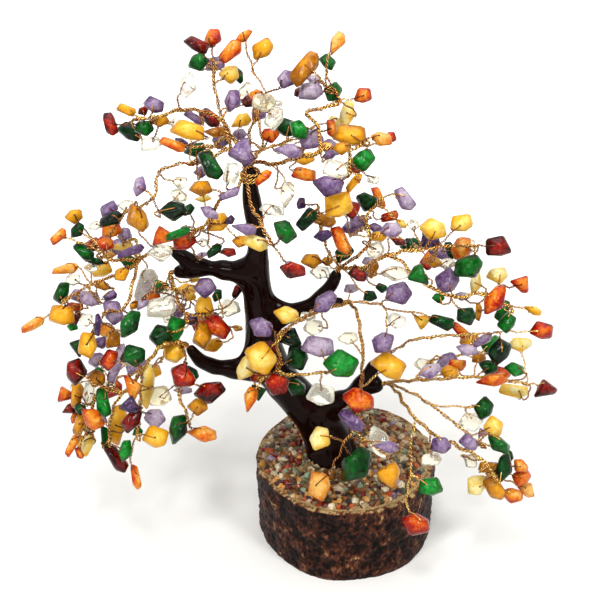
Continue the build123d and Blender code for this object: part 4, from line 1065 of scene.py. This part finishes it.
# %% Noise on a grid of knots
def lattice(u, v, across, up, salt):
    """Random heights on knots, across of them round u and up along v, joined by smooth steps."""
    heights = np.random.default_rng(seed + salt).random((up + 2, across))
    x, y = (u % 1) * across, v * up
    column, row = np.floor(x).astype(int) % across, np.clip(np.floor(y).astype(int), 0, up)
    beside = (column + 1) % across
    s, t = smooth_step(x - np.floor(x)), smooth_step(y - np.floor(y))
    lower = heights[row, column] * (1 - s) + heights[row, beside] * s
    upper = heights[row + 1, column] * (1 - s) + heights[row + 1, beside] * s
    return lower * (1 - t) + upper * t - 0.5

# %% The bark
log_radius, log_height, core_radius = 40 * mm, 39 * mm, 37.6 * mm
taper = 1.6 * mm
bump_shares = np.array([0.9, 0.2, 0.7, -0.3, 0.5, 0.1, -0.6, 0.8, 0.0, -0.4, 0.6, -0.8, 0.3, -0.2])
bump_reach = 0.6 * mm
bark_columns, bark_rows = 480, 60
edge_slope, edge_inset, crumb_depth = 14, 0.3 * mm, 0.5 * mm
torn_start, torn_slope = 0.978, 30
inside_tone, underside_tone = 0.95, 0.3


def outline_bumps(u):
    """The log's bumps as a wave through equally spaced shares: the sum of their Fourier terms."""
    spectrum = np.fft.rfft(bump_shares) / len(bump_shares)
    waves = np.arange(len(spectrum))
    weights = np.where(waves % (len(bump_shares) // 2) == 0, 1, 2)
    terms = weights * spectrum * np.exp(2j * np.pi * u[:, None] * waves)
    return terms.real.sum(axis=1) * bump_reach


u = np.linspace(0, 1, bark_columns, endpoint=False)
u_grid, v_grid = np.meshgrid(u, np.linspace(0, 1, bark_rows))
furrows = lattice(u_grid + 0.01 * lattice(u_grid, v_grid, 9, 5, 1), v_grid, 46, 5, 2)
plates = lattice(u_grid, v_grid, 90, 14, 3)
flakes = lattice(u_grid, v_grid, 210, 34, 4)
crumbs = lattice(u_grid, v_grid, 70, 2, 5)
tears = lattice(u_grid, v_grid, 190, 2, 6)
relief = (0.9 * furrows + 0.7 * plates + 0.8 * flakes - 0.2) * mm
edge = np.clip(np.minimum(v_grid, 1 - v_grid) * edge_slope, 0, 1)
relief = relief * (0.4 + 0.6 * edge) - edge_inset * (1 - edge) ** 2
radius = log_radius + outline_bumps(u) - (1 - v_grid) * taper / 2 + relief
angle = 2 * np.pi * u_grid
height = v_grid * log_height + crumb_depth * crumbs * (v_grid == 1)
outside = np.stack([(1 - v_grid) * taper / 2 + radius * np.cos(angle), radius * np.sin(angle),
                    np.clip(height, 0, log_height)], axis=-1)
inside = [core_radius * round_line(angle[0], [1, 0, 0], [0, 1, 0]) + [0, 0, level]
          for level in (log_height, 0)]
shade = 0.34 + 0.5 * furrows + 0.45 * plates + 0.5 * flakes
torn = np.clip((v_grid - torn_start + 0.03 * tears) * torn_slope, 0, 1)
shade = shade * (1 - torn) + torn
rows = np.concatenate([outside, inside, outside[:1]])
tones = np.concatenate([shade, np.full((2, bark_columns), inside_tone),
                        np.full((1, bark_columns), underside_tone)])
surface = Surface()
surface.take(rows, [grid_faces(len(rows), bark_columns)], tones)
bark_finish = clouded_material(
    "bark",
    [(0.0, (0.002, 0.001, 0.0007)), (0.25, (0.009, 0.003, 0.002)), (0.5, (0.045, 0.012, 0.006)),
     (0.72, (0.12, 0.038, 0.017)), (0.86, (0.24, 0.11, 0.045)), (1.0, (0.50, 0.36, 0.16))],
    800, 1.3, 0.6, 0.9, 1300, {"Roughness": 0.4, "Specular IOR Level": 0.08},
    stretch=(1, 1, 0.5), relief_height=1.0 * mm)
place_piece(surface.mesh("log_bark"), bark_finish, ["bark"])

# %% [markdown]
# ## The sawn wood
#
# The core keeps its CAD solid. Only its rim shows, a thin tan ring between the bark and the bed,
# so its finish is growth rings: a sine of the distance from the pith, bent by a noise.

# %% Wood finish
def wood_material():
    """Growth rings round the log's axis in two tans, with a fine grain bump."""
    material, tree, shader = new_finish("sawn_wood", {"Roughness": 0.55})
    where = add_node(tree, "ShaderNodeTexCoord")
    rings = add_node(tree, "ShaderNodeTexWave", {"Scale": 260, "Distortion": 16.0, "Detail": 6.0,
                                                 "Detail Scale": 3.0},
                     wave_type="RINGS", rings_direction="Z")
    ramp = add_ramp(tree, [(0.0, (0.20, 0.10, 0.03)), (1.0, (0.58, 0.42, 0.18))])
    link(tree, (where, "Object", rings, "Vector"), (rings, "Fac", ramp, "Fac"),
         (ramp, "Color", shader, "Base Color"))
    add_relief(tree, shader, rings, "Fac", 0.4, 0.3 * mm)
    return material


def dress(node, material):
    """Give a CAD node a new finish and leave its mesh alone."""
    data = frame["nodes"][node].data
    data.materials.clear()
    data.materials.append(material)


dress("log_core", wood_material())

# %% [markdown]
# ## The bed of crushed stone
#
# Crushed stone of five colours lies in clear resin. A grain is an icosahedron, stretched and
# turned at random, with flat faces. Most grains are spread on a spiral of golden angles, which
# leaves no gaps or rows. Others lie where the CAD grains are, and a few were noted by pixel,
# size in mm and tone. Each colour is one piece, so that it stands for its CAD grains.

# %% Grain shapes
golden = (1 + math.sqrt(5)) / 2
edge_length = 1.1
corner_reach, grain_stretch = (0.78, 1.12), (0.6, 1.15)
corner_rows = [(s, t * golden, 0) for s in (-1, 1) for t in (-1, 1)]
ico_points = unit(np.array([np.roll(row, shift) for shift in range(3) for row in corner_rows]))
gaps = np.linalg.norm(ico_points[:, None] - ico_points[None], axis=-1)
joined = (gaps > 0) & (gaps < edge_length)
threes = [(i, j, k) for i in range(12) for j in range(i + 1, 12) for k in range(j + 1, 12)]
ico_faces = turned_outward(ico_points, np.array(
    [(i, j, k) for i, j, k in threes if joined[i, j] and joined[j, k] and joined[i, k]]))


def scatter_grains(surface, centres, sizes, tones, salt):
    """Icosahedra with every corner moved at random, stretched, turned and put in place."""
    draw = np.random.default_rng(seed + salt)
    count = len(centres)
    shape = ico_points[None] * draw.uniform(*corner_reach, (count, 12, 1))
    shape = shape * draw.uniform(*grain_stretch, (count, 1, 3))
    turns, _ = np.linalg.qr(draw.normal(size=(count, 3, 3)))
    turns[:, 0] *= np.sign(np.linalg.det(turns))[:, None]
    points = centres[:, None] + np.einsum("nij,njk->nik", shape, turns) * sizes[:, None, None] / 2
    faces = ico_faces[None] + 12 * np.arange(count)[:, None, None]
    surface.take(points, [faces.reshape(-1, 3)], np.repeat(tones, 12))

# %% Spread the grains
bed_top = np.array(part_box("resin_bed")[1])[2]
gravel_radius, recess_radius = 37.6 * mm, 34.8 * mm
gravel_sway, widest_angle = 0.7 * mm, 2.6
rim_overlap, rim_sink = 0.8 * mm, 0.1 * mm
grain_total = 900
mm_sizes, mm_rises, mm_jitter = (2.4, 5.4), (-0.7, 0.3), 0.5
spread_salt, solid_salt, noted_salt = 40, 50, 60
draw = np.random.default_rng(seed + 30)
order = np.arange(grain_total)
turn_angle = order * math.pi * (3 - math.sqrt(5))
outer = gravel_radius + gravel_sway * np.cos(turn_angle - widest_angle)
reach = outer * np.sqrt((order + 0.5) / grain_total)
places = np.stack([reach * np.cos(turn_angle), reach * np.sin(turn_angle), 0 * reach], axis=-1)
places[:, :2] += draw.normal(0, mm_jitter * mm, (grain_total, 2))
sizes = draw.uniform(*mm_sizes, grain_total) * mm
places[:, 2] = bed_top + draw.uniform(*mm_rises, grain_total) * mm
reach = np.linalg.norm(places[:, :2], axis=1)
over = np.clip(reach + sizes / 2 - outer, 0, None)
places[:, :2] -= places[:, :2] / reach[:, None] * over[:, None]
on_rim = np.linalg.norm(places[:, :2], axis=1) > recess_radius - rim_overlap
places[on_rim, 2] = log_height - rim_sink
rightward = np.clip(0.5 + places[:, 0] / gravel_radius / 2, 0, 1)[:, None]
shares_left = np.array([0.27, 0.13, 0.36, 0.03, 0.21])
shares_right = np.array([0.11, 0.20, 0.45, 0.03, 0.21])
bounds = np.cumsum(shares_left * (1 - rightward) + shares_right * rightward, axis=1)
colour = np.clip((draw.uniform(size=grain_total)[:, None] > bounds).sum(axis=1), 0, 4)
tone_draw = draw.beta(1.4, 1.6, grain_total)
grain_stops = {
    "red": [(0.0, (0.03, 0.003, 0.002)), (0.5, (0.20, 0.012, 0.005)), (1.0, (0.50, 0.10, 0.02))],
    "green": [(0.0, (0.015, 0.018, 0.007)), (0.6, (0.12, 0.11, 0.045)), (1.0, (0.28, 0.40, 0.26))],
    "cream": [(0.0, (0.07, 0.035, 0.014)), (0.45, (0.28, 0.18, 0.075)), (1.0, (0.74, 0.65, 0.44))],
    "purple": [(0.0, (0.006, 0.003, 0.006)), (0.6, (0.06, 0.025, 0.05)), (1.0, (0.36, 0.27, 0.38))],
    "orange": [(0.0, (0.04, 0.014, 0.005)), (0.5, (0.26, 0.10, 0.018)), (1.0, (0.70, 0.36, 0.09))],
}
noted_grains = {
    "red": [(362, 495, 5.0, 0.3), (287, 468, 5.0, 0.7), (299, 455, 4.5, 0.6), (295, 427, 5.0, 0.2),
        (273, 455, 3.5, 0.7), (287, 484, 4.0, 0.5), (387, 418, 3.5, 0.9), (341, 474, 3.5, 0.4)],
    "green": [(306, 478, 5.5, 1.0), (302, 484, 3.5, 0.3), (303, 491, 4.5, 0.95),
        (328, 501, 3.5, 0.2), (360, 487, 4.0, 0.9), (272, 438, 4.0, 0.6), (376, 414, 5.0, 0.6),
        (268, 447, 3.5, 0.6)],
    "cream": [(339, 491, 6.5, 0.85), (385, 491, 6.0, 0.95), (369, 473, 5.0, 0.7),
        (304, 426, 5.0, 0.9), (282, 460, 4.0, 0.9), (281, 477, 4.5, 0.8), (404, 460, 5.0, 0.7),
        (402, 437, 5.0, 0.8), (424, 441, 5.0, 0.55), (318, 466, 4.0, 0.6), (390, 450, 4.0, 0.8),
        (375, 462, 4.5, 0.5)],
    "purple": [(309, 498, 3.5, 0.3), (348, 503, 5.0, 0.1), (398, 484, 5.0, 1.0),
        (279, 468, 3.0, 0.1), (403, 468, 4.5, 0.0), (398, 424, 4.0, 0.05), (309, 459, 3.5, 0.3)],
    "orange": [(339, 501, 3.5, 0.95), (374, 485, 4.0, 0.9), (288, 436, 5.0, 0.7),
        (262, 464, 3.5, 0.8), (402, 447, 4.0, 0.6), (420, 461, 4.0, 0.7), (413, 484, 4.0, 0.8),
        (298, 497, 3.0, 0.8)],
}
for number, (word, stops) in enumerate(grain_stops.items()):
    surface = Surface()
    chosen = colour == number
    scatter_grains(surface, places[chosen], sizes[chosen], tone_draw[chosen], spread_salt + number)
    solids = solids_of(f"{word}_gravel")
    lows = np.array([corners.min(axis=0) for corners in solids])
    highs = np.array([corners.max(axis=0) for corners in solids])
    large_sizes = (highs - lows)[:, :2].mean(axis=1)
    scatter_grains(surface, (lows + highs) / 2, large_sizes, draw.uniform(0.2, 1, len(solids)),
                   solid_salt + number)
    noted = np.array(noted_grains[word])
    lines = sight_lines(noted[:, :2])
    on_bed = eye + lines * ((bed_top - eye[2]) / lines[:, 2:])
    scatter_grains(surface, on_bed, noted[:, 2] * mm, noted[:, 3], noted_salt + number)
    finish = clouded_material(f"{word}_grain", stops, 700, 0.9, 0.6, 0.4, 900,
                              {"Roughness": 0.16, "Specular IOR Level": 0.35})
    place_piece(surface.mesh(f"{word}_crushed_stone", smooth=False), finish,
                [f"{word}_gravel"])

# %% Resin and rod finishes
def speckled_material():
    """Resin over small grains: cells of many tones from a Voronoi texture, under a gloss."""
    material, tree, shader = new_finish("resin_with_grit", {"Roughness": 0.25,
                                                            "Specular IOR Level": 0.3})
    where = add_node(tree, "ShaderNodeTexCoord")
    cells = add_node(tree, "ShaderNodeTexVoronoi", {"Scale": 620})
    apart = add_node(tree, "ShaderNodeSeparateColor")
    ramp = add_ramp(tree, [(0.0, (0.02, 0.008, 0.004)), (0.3, (0.10, 0.03, 0.01)),
                           (0.5, (0.17, 0.10, 0.04)), (0.75, (0.07, 0.055, 0.025)),
                           (1.0, (0.30, 0.19, 0.08))])
    link(tree, (where, "Object", cells, "Vector"), (cells, "Color", apart, 0),
         (apart, 0, ramp, "Fac"), (ramp, "Color", shader, "Base Color"))
    return material


dress("resin_bed", speckled_material())
dress("armature_rod", clouded_material(
    "steel_rod", [(0.0, (0.35, 0.35, 0.36)), (1.0, (0.6, 0.6, 0.62))], 200, 0.5,
    sockets={"Metallic": 1.0, "Roughness": 0.35}))

# %% [markdown]
# ## Floor, light and camera
#
# The photograph is high-key: a white floor, wide soft light and a soft shadow round the log. The
# floor and the world are white to the camera, and to what a gloss or a clear stone shows. To those
# rays the floor also glows, and the glow is painted light that grows with the distance from the
# log, so that the floor is darker near the log and keeps the shadow there.

# %% The floor
def seen_rays(tree):
    """1 for the camera's rays and for those that a gloss or a clear stone sends on, else 0."""
    ray = add_node(tree, "ShaderNodeLightPath")
    seen, clear = (add_node(tree, "ShaderNodeMath", operation="MAXIMUM") for _ in range(2))
    link(tree, (ray, "Is Camera Ray", seen, 0), (ray, "Is Glossy Ray", seen, 1),
         (seen, 0, clear, 0), (ray, "Is Transmission Ray", clear, 1))
    return clear


span = 3.0
floor_mesh = new_mesh("floor", [(-span, -span, 0), (span, -span, 0), (span, span, 0),
                                (-span, span, 0)], [(0, 1, 2, 3)])
floor_finish, tree, shader = new_finish("white_floor", {
    "Base Color": (0.86, 0.855, 0.825, 1), "Roughness": 0.9, "Specular IOR Level": 0.1,
    "Emission Color": (1, 1, 0.985, 1)})
where = add_node(tree, "ShaderNodeTexCoord")
away = add_node(tree, "ShaderNodeVectorMath", operation="LENGTH")
# Painted light: the floor's glow is faint near the log and grows away from it.
glow_painted_light = add_node(tree, "ShaderNodeMapRange", {"From Min": 0.08, "From Max": 0.45, "To Min": 0.05,
                                             "To Max": 0.7}, interpolation_type="SMOOTHSTEP")
painted_light_strength = add_node(tree, "ShaderNodeMath", operation="MULTIPLY")
link(tree, (where, "Object", away, 0), (away, "Value", glow_painted_light, "Value"), (glow_painted_light, "Result", painted_light_strength, 1),
     (seen_rays(tree), 0, painted_light_strength, 0), (painted_light_strength, 0, shader, "Emission Strength"))
floor_mesh.materials.append(floor_finish)
add_object("floor", floor_mesh)

# %% The world
soft_strength, white_strength = 0.33, 1.0
world = bpy.data.worlds.new("studio")
bpy.context.scene.world = world
world.use_nodes = True
tree = world.node_tree
tree.nodes.clear()
soft, white = (add_node(tree, "ShaderNodeBackground", {"Color": (1, 1, 1, 1), "Strength": strength})
               for strength in (soft_strength, white_strength))
blend = add_node(tree, "ShaderNodeMixShader")
out = add_node(tree, "ShaderNodeOutputWorld")
link(tree, (seen_rays(tree), 0, blend, "Fac"), (soft, 0, blend, 1), (white, 0, blend, 2),
     (blend, 0, out, "Surface"))

# %% Lamps
lamps = {
    "window_left": ((-0.50, -0.55, 0.75), (0.0, 0.0, 0.12), 0.2, 3.6),
    "window_right": ((0.45, -0.50, 0.70), (0.0, 0.0, 0.12), 0.2, 3.2),
    "front": ((-0.10, -0.45, 0.95), (0.0, 0.0, 0.12), 0.15, 2.6),
    "top": ((0.05, 0.15, 1.0), (0.0, 0.0, 0.1), 0.9, 6.0),
}
for name, (spot, aim, size, power) in lamps.items():
    light = bpy.data.lights.new(name, "AREA")
    light.size, light.energy = size, power
    lamp = add_object(name, light)
    lamp.location = spot
    toward = np.array(aim) - np.array(spot)
    lamp.rotation_euler = (math.atan2(math.hypot(toward[0], toward[1]), -toward[2]), 0,
                           math.atan2(toward[0], -toward[1]) + math.pi)

# %% Camera
camera_data = bpy.data.cameras.new("camera")
camera = add_object("camera", camera_data)
camera.location = eye
camera.rotation_euler = (math.pi / 2 - view_pitch, 0, 0)
camera_data.sensor_width = 36
camera_data.lens = focal_pixels / frame_pixels * camera_data.sensor_width
camera_data.clip_start = 0.01
bpy.context.scene.camera = camera
bpy.context.scene.view_settings.view_transform = "Standard"
